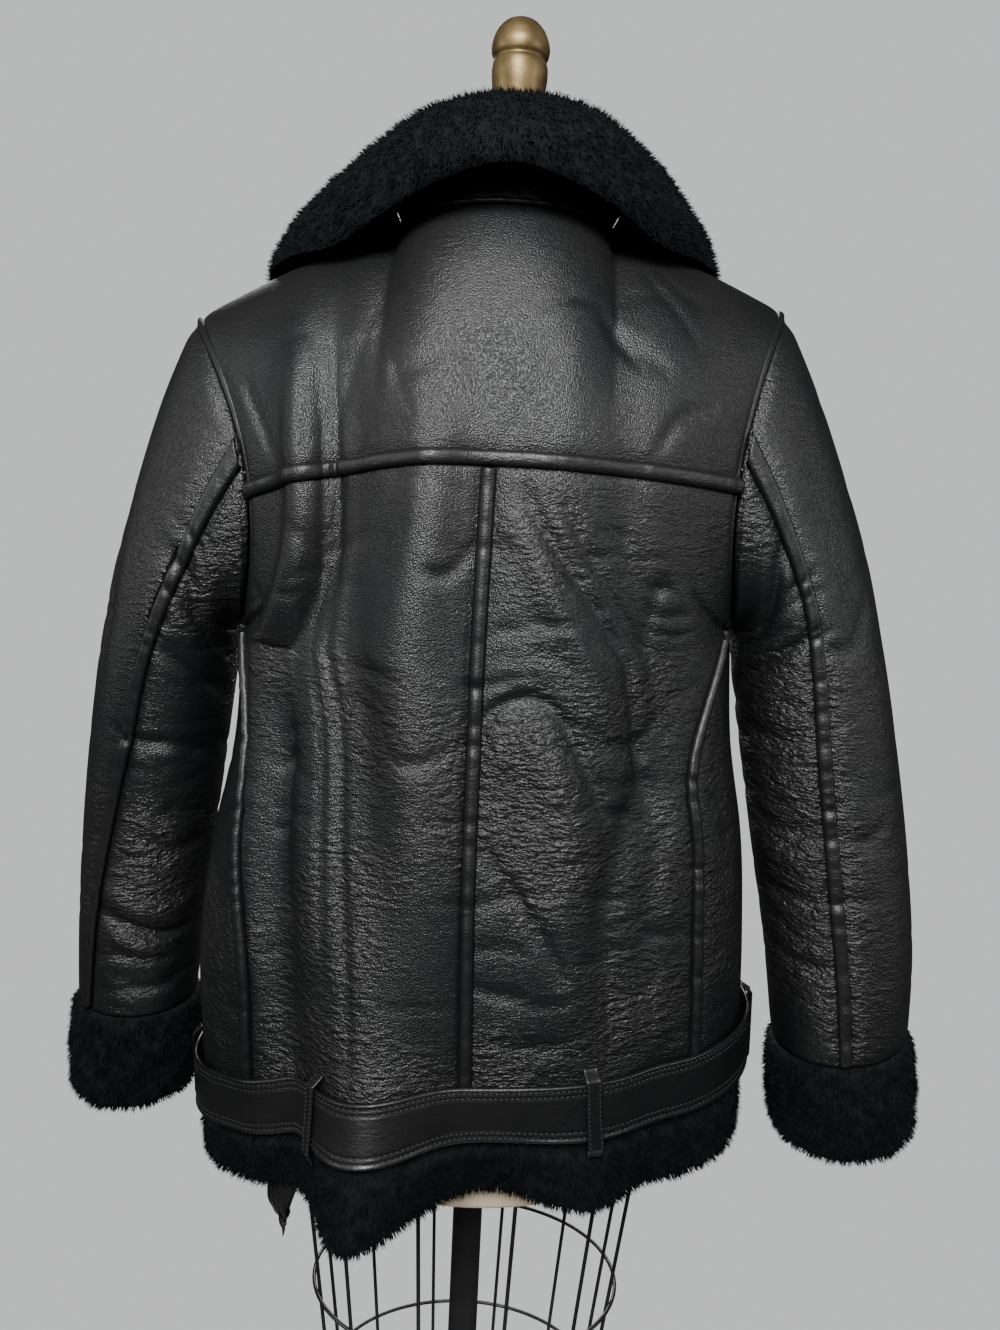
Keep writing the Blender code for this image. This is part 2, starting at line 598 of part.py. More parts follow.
def fall_point(side, station, across):
    """Outside of the fur collar: across 0 on the roll line, 1 on its loose edge."""
    outward = 1.0 if side == "left" else -1.0
    roll, edge = ROLL_LINE(outward * station), EDGE_LINE(outward * station)
    lift_way = unit(np.array((0.30 * outward * station / 5, 0.6 * (1 - station / 2.5), 0.8)))
    crown = (roll + edge) / 2 + lift_way * LIFT_LINE(outward * station) * 2
    return roll * (1 - across) ** 2 + crown * 2 * across * (1 - across) + edge * across**2


def fall_normal(side, station, across):
    normal = surface_normal(lambda s, w: fall_point(side, s, w), station, across,
                            (-9.0, 0.0), (9.0, 1.0), 0.01)
    return normal if side == "right" else -normal


def fur_depth(across):
    """The pile thins to a rounded edge at the loose side."""
    return FUR * (0.30 + 0.70 * math.sqrt(max(1 - ramp(0.72, 1.0, across) ** 2, 0.0)))


def collar_fall():
    def split(u):
        around = mix(-5, 5, u)
        return ("left" if around >= 0 else "right"), abs(around)

    def inner_at(u, v):
        side, station = split(u)
        return fall_point(side, station, v) - fall_normal(side, max(station, 0.02), v) * fur_depth(v)

    wall("collar_fall", 24, 6, lambda u, v: fall_point(*split(u), v), inner_at, BLACK_FUR)


STAND_END = 3.0                # station at which the leather stand stops
STAND_DROP = 0.0008            # from the roll line down to the stand's top
STAND_GAP = 0.0005


def collar_stand():
    def place(u, v, depth):
        around = mix(-1, 1, u)
        side = "left" if around >= 0 else "right"
        neck_steps = BACK_COLUMNS.index(NECK_COLUMN)
        station = STAND_END * BACK_COLUMNS[round(abs(around) * neck_steps)] / NECK_COLUMN
        foot = neck_point(side, math.pi / 2 * station / STAND_END) + np.array((0, 0, STAND_GAP))
        top = ROLL_LINE(SIDE_SIGN[side] * station) - np.array((0, 0, STAND_DROP))
        inward = unit(np.array((NECK_MIDDLE, NECK_Y, 0)) - foot * (1, 1, 0))
        return mix(foot, top, v) + inward * (depth + 0.002 * math.sin(math.pi * v))

    wall("collar_stand", 2 * BACK_COLUMNS.index(NECK_COLUMN), 3, lambda u, v: place(u, v, 0.0),
         lambda u, v: place(u, v, LEATHER), BLACK_LEATHER)


def lapel(side):
    sign = SIDE_SIGN[side]

    def place(u, v, rise):
        top = mix(*LAPEL_TOP, u)
        level = mix(BREAK_LEVEL + 0.01, top, v)
        spread = v ** 0.8
        column = mix(front_edge(level), front_edge(level) + mix(0.02, LAPEL_COLUMNS[1], spread), u)
        return on_body(sign * column, level, rise, True)

    def depth(u, v):
        return FUR * (0.30 + 0.70 * math.sqrt(max(1 - ramp(0.75, 1.0, u) ** 2, 0.0))) * ramp(-0.25, 0.2, v)

    wall("lapel_" + side, 6, 14, lambda u, v: place(u, v, LAPEL_GAP + depth(u, v)),
         lambda u, v: place(u, v, LAPEL_GAP), BLACK_FUR)


# ---------------------------------------------------------------- sleeves and cuffs
SLEEVE_STEPS = 12


def back_seam_angle(side, share):
    knots = (math.degrees(BACK_SEAM_ROW),) + SLEEVE_BACK_SEAM[side]
    return math.radians(Smooth(np.linspace(0, 1, len(knots)), knots)(share))


def sleeve_start(side, angle):
    step = 0.01
    reach = np.linalg.norm(sleeve_point(side, angle, step) - sleeve_point(side, angle, 0.0)) / step
    return ARMHOLE_GAP / reach


SEAM_ANGLE = math.radians(0.25)
# Angles of the body panels' rows round the armhole, which the sleeves' first rows share.
ROW_ANGLES = [armhole_angle(level) for level in LEVELS[LEVELS.index(UNDERARM_LEVEL):]]
ROW_ANGLES += [armhole_angle(YOKE_LEVEL + (step + 1) / YOKE_STEPS) for step in range(YOKE_STEPS)]
ROUND_ANGLES = sorted([-angle for angle in ROW_ANGLES[1:-1]] + ROW_ANGLES)
BACK_SEAM_ROW = armhole_angle(YOKE_LEVEL + 1 / YOKE_STEPS)
FRONT_SEAM_ROW = -armhole_angle(YOKE_LEVEL + 2 / YOKE_STEPS)
UPPER_ANGLES = [a for a in ROUND_ANGLES if FRONT_SEAM_ROW - 0.001 < a < BACK_SEAM_ROW + 0.001]
UNDER_ANGLES = [a for a in ROUND_ANGLES if a > BACK_SEAM_ROW - 0.001]
UNDER_ANGLES += [a + 2 * math.pi for a in ROUND_ANGLES if a < FRONT_SEAM_ROW + 0.001]


def sleeve_piece(name, side, row_angles, low_at, high_at):
    def place(u, v, depth):
        row_angle = row_angles[round(u * (len(row_angles) - 1))]
        u_angle = (row_angle - row_angles[0]) / (row_angles[-1] - row_angles[0])
        angle = mix(low_at(v), high_at(v), u_angle)
        share = mix(sleeve_start(side, angle), 1.0 - SEAM_GAP, v ** 1.15)
        return sleeve_point(side, angle, share) - sleeve_normal(side, angle, share) * depth
    wall(name, len(row_angles) - 1, SLEEVE_STEPS, lambda u, v: place(u, v, 0.0),
         lambda u, v: place(u, v, LEATHER), BLACK_LEATHER)


def sleeve(side):
    sleeve_piece("upper_sleeve_" + side, side, UPPER_ANGLES,
                 lambda v: FRONT_SEAM_ROW + SEAM_ANGLE, lambda v: back_seam_angle(side, v) - SEAM_ANGLE)
    sleeve_piece("under_sleeve_" + side, side, UNDER_ANGLES,
                 lambda v: back_seam_angle(side, v) + SEAM_ANGLE,
                 lambda v: FRONT_SEAM_ROW + 2 * math.pi - SEAM_ANGLE)


def sleeve_welt(side):
    def place(u, v, rise):
        share = mix(0.012, 0.995, v ** 1.15)
        angle = back_seam_angle(side, v) + (u - 0.5) * WELT_WIDTH / 0.056
        return sleeve_point(side, angle, share) + sleeve_normal(side, angle, share) * rise
    wall("sleeve_welt_" + side, 2, SLEEVE_STEPS, lambda u, v: place(u, v, WELT_GAP + strip_rise(u)),
         lambda u, v: place(u, v, WELT_GAP), BLACK_LEATHER)


def cuff(side):
    height = CUFF_HEIGHT[side]
    reach = height / np.linalg.norm(SLEEVE_DROP[side])

    def place(u, v, depth):
        angle = 2 * math.pi * u
        share = mix(1.0 + 0.0006 / 0.47, 1.0 + reach, v)
        return sleeve_point(side, angle, share) - plain_sleeve_normal(side, angle, 0.98) * depth

    def roundness(v):
        return math.sqrt(max(1 - abs(2 * v - 1) ** 3.2, 0.0))

    wall("cuff_" + side, 20, 5, lambda u, v: place(u, v, -CUFF_PROUD * (0.25 + 0.75 * roundness(v))),
         lambda u, v: place(u, v, 0.004 + 0.005 * roundness(v)), BLACK_FUR, ring=True)


# ---------------------------------------------------------------- hem, belt and loops
def hem_band(name, steps, start, stop):
    """Fur below the leather: start and stop are places round the body, 0 at the centre
    back, 1 and -1 at the sides and 2 and -2 at the centre front."""
    def place(u, v, rise):
        around = mix(start, stop, u)
        front = abs(around) > 1
        column = math.copysign(2 - abs(around) if front else abs(around), around)
        level = mix(HEM_LEVEL, -LEVEL_INSET, v)
        return on_body(column, level, rise, front)

    def roundness(v):
        return math.sqrt(max(1 - (1 - min(v / 0.45, 1.0)) ** 2.6, 0.0))

    def proud(v):
        """The fur stands out below the belt and is pressed flat under it."""
        return mix(0.003, -0.0015, ramp(0.50, 0.64, v)) * roundness(v) - 0.003 * (1 - roundness(v))

    wall(name, steps, 6, lambda u, v: place(u, v, proud(v)),
         lambda u, v: place(u, v, -0.0055 - (FUR - 0.0060) * roundness(v)), BLACK_FUR)


def belt_rise(v):
    return BELT_STANDOFF + BELT_THICK * (1 - 0.25 * abs(2 * v - 1) ** 6)


BELT_SPAN = BELT_WIDTH / BACK_HEIGHT     # in levels
BELT_START = 2 - BUCKLE_COLUMN     # round from the buckle, past the back, to the buckle again
BELT_TURN = 4 - 0.045              # nearly once round, in columns


def belt_place(around, v, rise):
    around = (around + 2) % 4 - 2
    front = abs(around) > 1
    column = math.copysign(2 - abs(around) if front else abs(around), around)
    level = (v - 0.5) * BELT_SPAN
    return on_body(column, level, rise, front)


def belt():
    def around(u):
        return BELT_START - 0.022 - BELT_TURN * u
    wall("belt", 52, 2, lambda u, v: belt_place(around(u), v, belt_rise(v)),
         lambda u, v: belt_place(around(u), v, BELT_STANDOFF), BELT_LEATHER)


def belt_loop(name, column, front):
    half_span = 0.068
    over = BELT_STANDOFF + BELT_THICK + 0.0003

    def place(u, v, rise):
        level = mix(-half_span, half_span, v)
        clear = ramp(half_span, half_span * 0.76, abs(level)) if level > 0 else ramp(half_span, half_span * 0.76, -level)
        lift = mix(LOOP_REST if level > 0 else LOOP_REST + 0.0040, over, clear)
        side = 1.0 if column >= 0 else -1.0
        at = abs(column) + (u - 0.5) * LOOP_WIDTH / column_scale(abs(column) if column > 0 else column, level, front)
        turned = at > 1
        place_front = front != turned
        return on_body(side * (2 - at if turned else at), level, lift + rise, place_front)

    wall("belt_loop_" + name, 2, 14, lambda u, v: place(u, v, LOOP_THICK), lambda u, v: place(u, v, 0.0),
         BELT_LEATHER)


# ---------------------------------------------------------------- buckle, tail and zip
def box(name, size, centre, finish_material, bevel=0.0):
    block = bmesh.new()
    bmesh.ops.create_cube(block, size=1.0, matrix=Matrix.Translation(centre) @ Matrix.Diagonal((*size, 1.0)))
    piece = finish(name, block, finish_material, math.radians(30))
    if bevel:
        rounding = piece.modifiers.new("rounded", "BEVEL")
        rounding.width = bevel
        rounding.segments = 2
    return piece


def rod(name, radius, length, centre, finish_material, sides=16):
    """A cylinder along X."""
    shape = bmesh.new()
    turned = Matrix.Translation(centre) @ Matrix.Rotation(math.pi / 2, 4, "Y")
    bmesh.ops.create_cone(shape, cap_ends=True, segments=sides, radius1=radius, radius2=radius,
                          depth=length, matrix=turned)
    return finish(name, shape, finish_material, math.radians(30))


def cut_or_join(piece, tool, operation):
    step = piece.modifiers.new(operation.lower(), "BOOLEAN")
    step.operation = operation
    step.object = tool
    tool.hide_render = True
    tool.display_type = "WIRE"


def tube(name, points, radius, finish_material, cyclic=False, resolution=2):
    line = bpy.data.curves.new(name, "CURVE")
    line.dimensions = "3D"
    spline = line.splines.new("POLY")
    spline.points.add(len(points) - 1)
    for point, place in zip(spline.points, points):
        point.co = (*place, 1.0)
    spline.use_cyclic_u = cyclic
    line.bevel_depth = radius
    line.bevel_resolution = resolution
    line.use_fill_caps = True
    line.materials.append(finish_material)
    piece = bpy.data.objects.new(name, line)
    part_collection.objects.link(piece)
    return piece


def lofted(name, rings, sides, finish_material):
    """A closed body of stacked rings: each ring gives the point at an angle."""
    body = bmesh.new()
    bmesh.ops.create_circle(body, cap_ends=True, segments=sides, radius=1.0)
    angle_layer = body.verts.layers.float.new("angle")
    for vert in body.verts:
        vert[angle_layer] = math.atan2(vert.co.y, vert.co.x)
        vert.co = Vector(rings[0](vert[angle_layer]))
    cap = body.faces[:]
    for number, ring in enumerate(rings[1:]):
        grown = bmesh.ops.extrude_face_region(body, geom=cap, use_keep_orig=number == 0)["geom"]
        for vert in (item for item in grown if isinstance(item, bmesh.types.BMVert)):
            vert.co = Vector(ring(vert[angle_layer]))
        if number:
            bmesh.ops.delete(body, geom=[face for face in cap if face.is_valid], context="FACES")
        cap = [item for item in grown if isinstance(item, bmesh.types.BMFace) and len(item.verts) == sides]
    return finish(name, body, finish_material)


def belt_frame():
    """Place and axes of the buckle: along the belt, up it, and out from it."""
    around = 2 - BUCKLE_COLUMN
    face = BELT_STANDOFF + BELT_THICK + SEAM_GAP
    here = belt_place(around, 0.5, face)
    along = unit(belt_place(around + 0.02, 0.5, face) - belt_place(around - 0.02, 0.5, face))
    up = unit(belt_place(around, 0.9, face) - belt_place(around, 0.1, face))
    out = unit(np.cross(along, up))
    out = out if out[1] < 0 else -out
    return here, along, up, out


def buckle():
    here, along, up, out = belt_frame()
    bar, half_wide, half_tall, corner = 0.0021, 0.020, 0.0255, 0.006
    path = []
    for centre_x, centre_y, first in ((1, 1, 0), (-1, 1, 90), (-1, -1, 180), (1, -1, 270)):
        for turn in (0, 30, 60, 90):
            angle = math.radians(first + turn)
            path.append(here + along * (centre_x * (half_wide - corner) + corner * math.cos(angle))
                        + up * (centre_y * (half_tall - corner) + corner * math.sin(angle))
                        + out * (bar - 0.0008))
    tube("buckle_frame", path, bar, DARK_METAL, cyclic=True)
    reach = half_wide - bar - 0.0006
    prong = [here + along * (reach * s) + out * 0.0011 for s in (-1, -0.5, 0, 0.5, 1)]
    tube("buckle_prong", prong, 0.0014, DARK_METAL)


def belt_tail():
    """The free end of the belt: over the belt, down across the fur and on down."""
    lift = BELT_STANDOFF + BELT_THICK + 0.0006
    top = belt_place(2 - TAIL_COLUMN, 0.86, lift)
    low = belt_place(2 - TAIL_COLUMN, 0.0, lift)
    clear = low + np.array((0.0, -0.0035, -0.012))
    foot = np.array((clear[0] - 0.002, clear[1] - 0.004, TAIL_FOOT_Z))
    path = Smooth((0.0, 0.16, 0.24, 1.0), (top, low, clear, foot))
    across = unit(belt_place(2 - TAIL_COLUMN - 0.02, 0.5, lift) - belt_place(2 - TAIL_COLUMN + 0.02, 0.5, lift))
    out = unit(np.cross(across, (0, 0, 1)))
    out = out if out[1] < 0 else -out

    def place(u, v, rise):
        point_share = ramp(0.86, 1.0, v)
        half = TAIL_WIDTH / 2 * (1 - 0.86 * point_share)
        drop = 0.016 * point_share * (1 - abs(2 * u - 1))
        return path(v) + across * (2 * u - 1) * half + out * rise - np.array((0, 0, drop))

    wall("belt_tail", 4, 14, lambda u, v: place(u, v, BELT_THICK), lambda u, v: place(u, v, 0.0),
         BELT_LEATHER)


ZIP_TOP_LEVEL = BREAK_LEVEL - 0.01


def zip_tape(side):
    def place_at(u, v):
        return (SIDE_SIGN[side] * mix(0.0008, ZIP_COLUMN + 0.022, u),
                min(level_row(v, LEVELS.index(0.75)), ZIP_TOP_LEVEL), True)
    leather_wall("zip_tape_" + side, 2, LEVELS.index(0.75), place_at, ZIP_TAPE, -LEATHER - 0.0008, 0.0008)


def zip_slider():
    """Slider at the top of the zip, and its pull tab on a crossbar."""
    level = ZIP_TOP_LEVEL - 0.025
    middle = on_body(0.0, level, -LEATHER + 0.0002, True)
    wide, deep, tall = 0.0095, 0.0036, 0.0140
    centre = Vector(middle) + Vector((0, -deep / 2 - 0.0006, 0))
    slider = box("zip_slider", (wide, deep, tall), centre, DARK_METAL)
    face_y = centre.y - deep / 2
    axis = Vector((centre.x, face_y - TAB_AXIS_OUT, centre.z + 0.001))
    bar_radius, eye_radius, eye_width, cheek = 0.0009, 0.0024, 0.0044, 0.0011
    for number, way in enumerate((-1, 1)):
        reach = TAB_AXIS_OUT + 0.0016
        post = box("slider_cheek_%d" % number, (cheek, reach, 0.0036),
                   Vector((axis.x + way * (eye_width / 2 + 0.0003 + cheek / 2),
                           face_y - reach / 2 + 0.0002, axis.z)), DARK_METAL)
        cut_or_join(slider, post, "UNION")
    bar = rod("slider_bar", bar_radius, eye_width + cheek + 0.0006, axis, DARK_METAL, 12)
    cut_or_join(slider, bar, "UNION")

    tab = box("pull_tab", (0.0070, 0.0014, TAB_LENGTH), axis - Vector((0, 0, TAB_LENGTH / 2 + 0.0038)),
              DARK_METAL)
    neck = box("tab_neck", (eye_width, 0.0014, 0.0060), axis - Vector((0, 0, 0.0040)), DARK_METAL)
    eye = rod("tab_eye", eye_radius, eye_width, axis, DARK_METAL, 16)
    hole = rod("tab_hole", bar_radius + 0.0003, eye_width * 2, axis, DARK_METAL, 16)
    window = box("tab_window", (0.0032, 0.010, 0.0130), axis - Vector((0, 0, 0.0240)), DARK_METAL)
    cut_or_join(tab, neck, "UNION")
    cut_or_join(tab, eye, "UNION")
    cut_or_join(tab, hole, "DIFFERENCE")
    cut_or_join(tab, window, "DIFFERENCE")
    for piece in (slider, tab):
        piece.data.materials[0] = DARK_METAL


# ---------------------------------------------------------------- dress form and stand
def oval_ring(half_x, back, front, z):
    def at(angle):
        c, s = math.cos(angle), math.sin(angle)
        return half_x * c, (back if s > 0 else front) * s, z
    return at


def form_torso():
    rings = [oval_ring(row[1] * 0.94, row[2] * 0.94, row[3] * 0.94, row[0]) for row in FORM_ROWS[:1]]
    rings.append(oval_ring(FORM_ROWS[0][1], FORM_ROWS[0][2], FORM_ROWS[0][3], FORM_ROWS[0][0] + 0.004))
    shape = Smooth([row[0] for row in FORM_ROWS], [row[1:] for row in FORM_ROWS])
    for low, high in zip(FORM_ROWS[:-1], FORM_ROWS[1:]):
        for share in (0.5, 1.0) if high[0] - low[0] > 0.03 else (1.0,):
            z = mix(low[0], high[0], share)
            half_x, back, front = shape(z)
            rings.append(oval_ring(half_x, back, front, z))
    lofted("form_torso", rings, FORM_SIDES, FORM_CLOTH)


def turned(name, profile, base_z, sides, finish_material):
    rings = [oval_ring(max(radius, 0.0008), max(radius, 0.0008), max(radius, 0.0008), base_z + height)
             for radius, height in profile]
    lofted(name, rings, sides, finish_material)


def stand():
    turned("finial", FINIAL_PROFILE, NECK_TOP + SEAM_GAP, 18, SATIN_BRASS)
    turned("pole", ((POLE_RADIUS, 0.0), (POLE_RADIUS, RIM_Z - BASE_HEIGHT - 2 * SEAM_GAP)),
           BASE_HEIGHT + SEAM_GAP, 24, BLACK_PAINT)
    turned("base", ((BASE_RADIUS, 0.0), (BASE_RADIUS, BASE_HEIGHT * 0.6),
                    (BASE_RADIUS - 0.004, BASE_HEIGHT)), 0.0, 40, BLACK_PAINT)


def cage_oval(angle, z, grown=0.0):
    share = (RIM_Z - z) / (RIM_Z - CAGE_FOOT_Z)
    return np.array(((mix(CAGE_TOP[0], CAGE_FOOT[0], share) + grown) * math.cos(angle),
                     (mix(CAGE_TOP[1], CAGE_FOOT[1], share) + grown) * math.sin(angle), z))


def cage():
    top = RIM_Z - SEAM_GAP
    for number in range(WIRES):
        angle = 2 * math.pi * (number + 0.5) / WIRES
        points = [cage_oval(angle, mix(CAGE_FOOT_Z, top, share)) for share in (0, 0.5, 1)]
        tube("cage_wire_%02d" % (number + 1), points, WIRE_RADIUS, BLACK_PAINT)
    grown = 2 * WIRE_RADIUS + 0.0005
    for number, z in enumerate(CAGE_RINGS):
        count = 2 * WIRES
        points = [cage_oval(2 * math.pi * step / count + math.pi / WIRES, z, grown) for step in range(count)]
        tube("cage_ring_%d" % (number + 1), points, WIRE_RADIUS, BLACK_PAINT, cyclic=True)


# ---------------------------------------------------------------- the whole part
back_yoke()
for side in ("left", "right"):
    back_panel(side)
    side_panel(side)
    front_panel(side)
    lapel(side)
    sleeve(side)
    sleeve_welt(side)
    cuff(side)
    zip_tape(side)
yoke_welt()
vertical_welt("centre_back_welt", lambda level: 0.0, (0.004, 0.985), LEVEL_STEPS)
for side in ("left", "right"):
    vertical_welt("side_welt_" + side, lambda level: SIDE_SIGN[side] * BACK_SEAM_CURVE[side](level),
                  (0.004, 0.740), LEVELS.index(0.75))
collar_fall()
collar_stand()
hem_band("hem_back", 20, -0.56, 0.52)
hem_band("hem_left", 13, 0.5215, 1.982)
hem_band("hem_right", 13, -1.982, -0.5615)
belt()
for name, column, on_front in LOOP_COLUMNS:
    belt_loop(name, column, on_front)
buckle()
belt_tail()
zip_slider()
form_torso()
stand()
cage()
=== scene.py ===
# %% [markdown]
# # Dressing a motorcycle jacket on its form
# The solids give the jacket's walls, seams and stand. This lesson lays thin cloth,
# fur and fine hardware over them, so each cut piece gets its creases, pile or
# stitches, and every surface gets a finish worked out from nodes.

# %% Load the solids
import math

import bmesh
import bpy
import numpy as np
from mathutils import Matrix, Vector


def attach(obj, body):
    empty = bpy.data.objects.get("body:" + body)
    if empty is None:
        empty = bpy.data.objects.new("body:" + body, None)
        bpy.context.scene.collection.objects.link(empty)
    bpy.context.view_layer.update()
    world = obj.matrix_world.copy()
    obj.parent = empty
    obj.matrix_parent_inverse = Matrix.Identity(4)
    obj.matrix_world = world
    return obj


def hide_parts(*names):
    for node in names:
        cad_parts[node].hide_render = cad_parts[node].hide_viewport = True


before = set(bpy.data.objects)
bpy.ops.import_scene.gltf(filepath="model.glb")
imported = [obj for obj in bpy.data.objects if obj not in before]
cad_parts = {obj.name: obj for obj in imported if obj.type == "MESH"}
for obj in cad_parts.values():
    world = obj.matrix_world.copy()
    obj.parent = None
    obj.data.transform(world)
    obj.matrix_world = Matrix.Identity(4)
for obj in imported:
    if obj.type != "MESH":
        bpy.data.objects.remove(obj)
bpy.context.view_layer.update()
JACKET = "jacket_on_form"

# %% [markdown]
# ## Camera, floor and light
# The jacket is seen from behind, from chest height, with a wide lens a short way
# off, so the view has strong perspective and tips a little down and to one side.
# The camera's own axes are worked out from those two tilts.

# %% Camera
PICTURE_HEIGHT = 1330
FOCAL_PIXELS = 958
SENSOR = 36.0
CAMERA_PLACE = Vector((-0.006, 0.750, 1.257))
TIP_DOWN, ROLL_OVER = math.radians(8.6), math.radians(2.68)

forward = Vector((0, -math.cos(TIP_DOWN), -math.sin(TIP_DOWN)))
level_right = Vector((-1, 0, 0))
level_up = level_right.cross(forward)
right = math.cos(ROLL_OVER) * level_right + math.sin(ROLL_OVER) * level_up
up = math.cos(ROLL_OVER) * level_up - math.sin(ROLL_OVER) * level_right

lens = bpy.data.cameras.new("camera")
lens.sensor_fit = "VERTICAL"
lens.sensor_height = SENSOR
lens.lens = SENSOR * FOCAL_PIXELS / PICTURE_HEIGHT
camera = bpy.data.objects.new("camera", lens)
bpy.context.scene.collection.objects.link(camera)
camera.matrix_world = Matrix.Translation(CAMERA_PLACE) @ Matrix((right, up, -forward)).transposed().to_4x4()
bpy.context.scene.camera = camera
print("lens, mm:", round(lens.lens, 2))

# %% [markdown]
# Black leather shows its shape by what it mirrors, so the lights are big soft
# squares: one high behind the camera for the broad shine on the folds, a weak one
# beside the camera, one at each side for the edges, and one in front for the
# hidden side. The floor is a small pale disc, so that only the room is behind.

# %% Floor, sky and lights
ROOM_COLOUR = (0.80, 0.81, 0.82, 1)
FLOOR_RADIUS, FLOOR_DROP = 0.44, 0.0005


def link(thing):
    bpy.context.scene.collection.objects.link(thing)
    return thing


sky = bpy.data.worlds.new("pale_room")
sky.use_nodes = True
sky_shader = sky.node_tree.nodes["Background"]
sky_shader.inputs["Color"].default_value = ROOM_COLOUR
bpy.context.scene.world = sky

floor_shape = bmesh.new()
bmesh.ops.create_circle(floor_shape, cap_ends=True, segments=96, radius=FLOOR_RADIUS)
floor_mesh = bpy.data.meshes.new("floor")
floor_shape.to_mesh(floor_mesh)
floor_shape.free()
floor = link(bpy.data.objects.new("floor", floor_mesh))
floor.location = (0, 0, -FLOOR_DROP)

LIGHTS = (   # name, place, aim, size in metres, watts
    ("key_soft", (0.14, 1.60, 2.28), (0, 0, 1.20), 0.60, 88),
    ("camera_soft", (0.25, 1.90, 1.60), (0, 0, 1.15), 0.50, 8),
    ("left_soft", (1.9, 0.6, 1.7), (0, 0, 1.2), 0.6, 12),
    ("right_soft", (-1.8, 0.9, 1.7), (0, 0, 1.2), 0.7, 14),
    ("front_soft", (0.3, -2.2, 2.1), (0, 0, 1.1), 1.5, 60),
)
for name, place, aim, size, watts in LIGHTS:
    lamp = bpy.data.lights.new(name, "AREA")
    lamp.size, lamp.energy = size, watts
    holder = link(bpy.data.objects.new(name, lamp))
    holder.location = place
    holder.rotation_euler = (Vector(aim) - Vector(place)).to_track_quat("-Z", "Y").to_euler()
print("lights:", len(LIGHTS))

# %% [markdown]
# ## Finishes
# A socket wrapped in a small class lets shader maths read like Python. Each
# finish reads the object's own coordinates in metres, so its grain has its real
# size and lies still when a piece moves.

# %% A socket that Python's signs work on
class Socket:
    def __init__(self, tree, out):
        self.tree, self.out = tree, out

    def node(self, kind, settings, sockets, output=0):
        """Any node: its settings first, then the values or links of its sockets."""
        made = self.tree.nodes.new(kind)
        for key, value in settings.items():
            setattr(made, key, value)
        for key, value in sockets.items():
            if isinstance(value, Socket):
                self.tree.links.new(value.out, made.inputs[key])
            else:
                made.inputs[key].default_value = value
        return Socket(self.tree, made.outputs[output])

    def maths(self, operation, *values):
        return self.node("ShaderNodeMath", {"operation": operation}, dict(enumerate(values)))

    def __add__(self, other):
        return self.maths("ADD", self, other)

    def __sub__(self, other):
        return self.maths("SUBTRACT", self, other)

    def __mul__(self, other):
        return self.maths("MULTIPLY", self, other)

    __radd__, __rmul__ = __add__, __mul__

    def size(self):
        return self.maths("ABSOLUTE", self)

    def sine(self):
        return self.maths("SINE", self)

    def stretched(self, x, y, z):
        return self.node("ShaderNodeVectorMath", {"operation": "MULTIPLY"}, {0: self, 1: (x, y, z)})

    def shaken(self, scale, amount):
        """The place moved about by a soft noise, so that a pattern isn't regular."""
        noise = self.node("ShaderNodeTexNoise", {}, {"Vector": self, "Scale": scale, "Detail": 2.0}, "Color")
        return self.node("ShaderNodeVectorMath", {"operation": "MULTIPLY_ADD"},
                         {0: noise, 1: (amount, amount, amount), 2: self})

    def noise(self, scale, detail=2.0, rough=0.5):
        return self.node("ShaderNodeTexNoise", {},
                         {"Vector": self, "Scale": scale, "Detail": detail, "Roughness": rough})

    def cells(self, scale):
        return self.node("ShaderNodeTexVoronoi", {"feature": "F1"}, {"Vector": self, "Scale": scale})

    def step(self, low, high):
        return self.node("ShaderNodeMapRange", {"interpolation_type": "SMOOTHSTEP"},
                         {"Value": self, "From Min": low, "From Max": high})

    def between(self, first, second):
        return self.node("ShaderNodeMix", {"data_type": "RGBA"},
                         {"Factor": self, 6: (*first, 1), 7: (*second, 1)}, 2)


def finish_start(name, fixed):
    """A new material, its shader with the fixed values set, and the object's coordinates."""
    made = bpy.data.materials.new(name)
    made.use_nodes = True
    shader = made.node_tree.nodes["Principled BSDF"]
    for key, value in fixed.items():
        shader.inputs[key].default_value = value
    here = made.node_tree.nodes.new("ShaderNodeTexCoord")
    return made, shader, Socket(made.node_tree, here.outputs["Object"])


def plug(shader, place, colour=None, roughness=None, height=None):
    """Feed the shader; the height is in metres."""
    tree = place.tree
    if colour:
        tree.links.new(colour.out, shader.inputs["Base Color"])
    if roughness:
        tree.links.new(roughness.out, shader.inputs["Roughness"])
    if height:
        bump = place.node("ShaderNodeBump", {}, {"Height": height, "Distance": 1.0, "Strength": 1.0})
        tree.links.new(bump.out, shader.inputs["Normal"])


# %% [markdown]
# Bonded leather is a thin shiny skin over fluff. Its pebble grain is about a
# millimetre across, and the skin crinkles into short ripples that lie mostly
# level. How crinkled a place is comes from the piece's own attribute, because
# smooth and crinkled skin lie side by side on one panel.

# %% Leather
LEATHER_SHINE = 0.44
FOLD_SCALES = (62.0, 150.0, 330.0)      # cells in a metre for the long, short and small folds
FOLD_SHARES = (1.0, 0.50, 0.10)
GRAIN_SCALE = 900.0


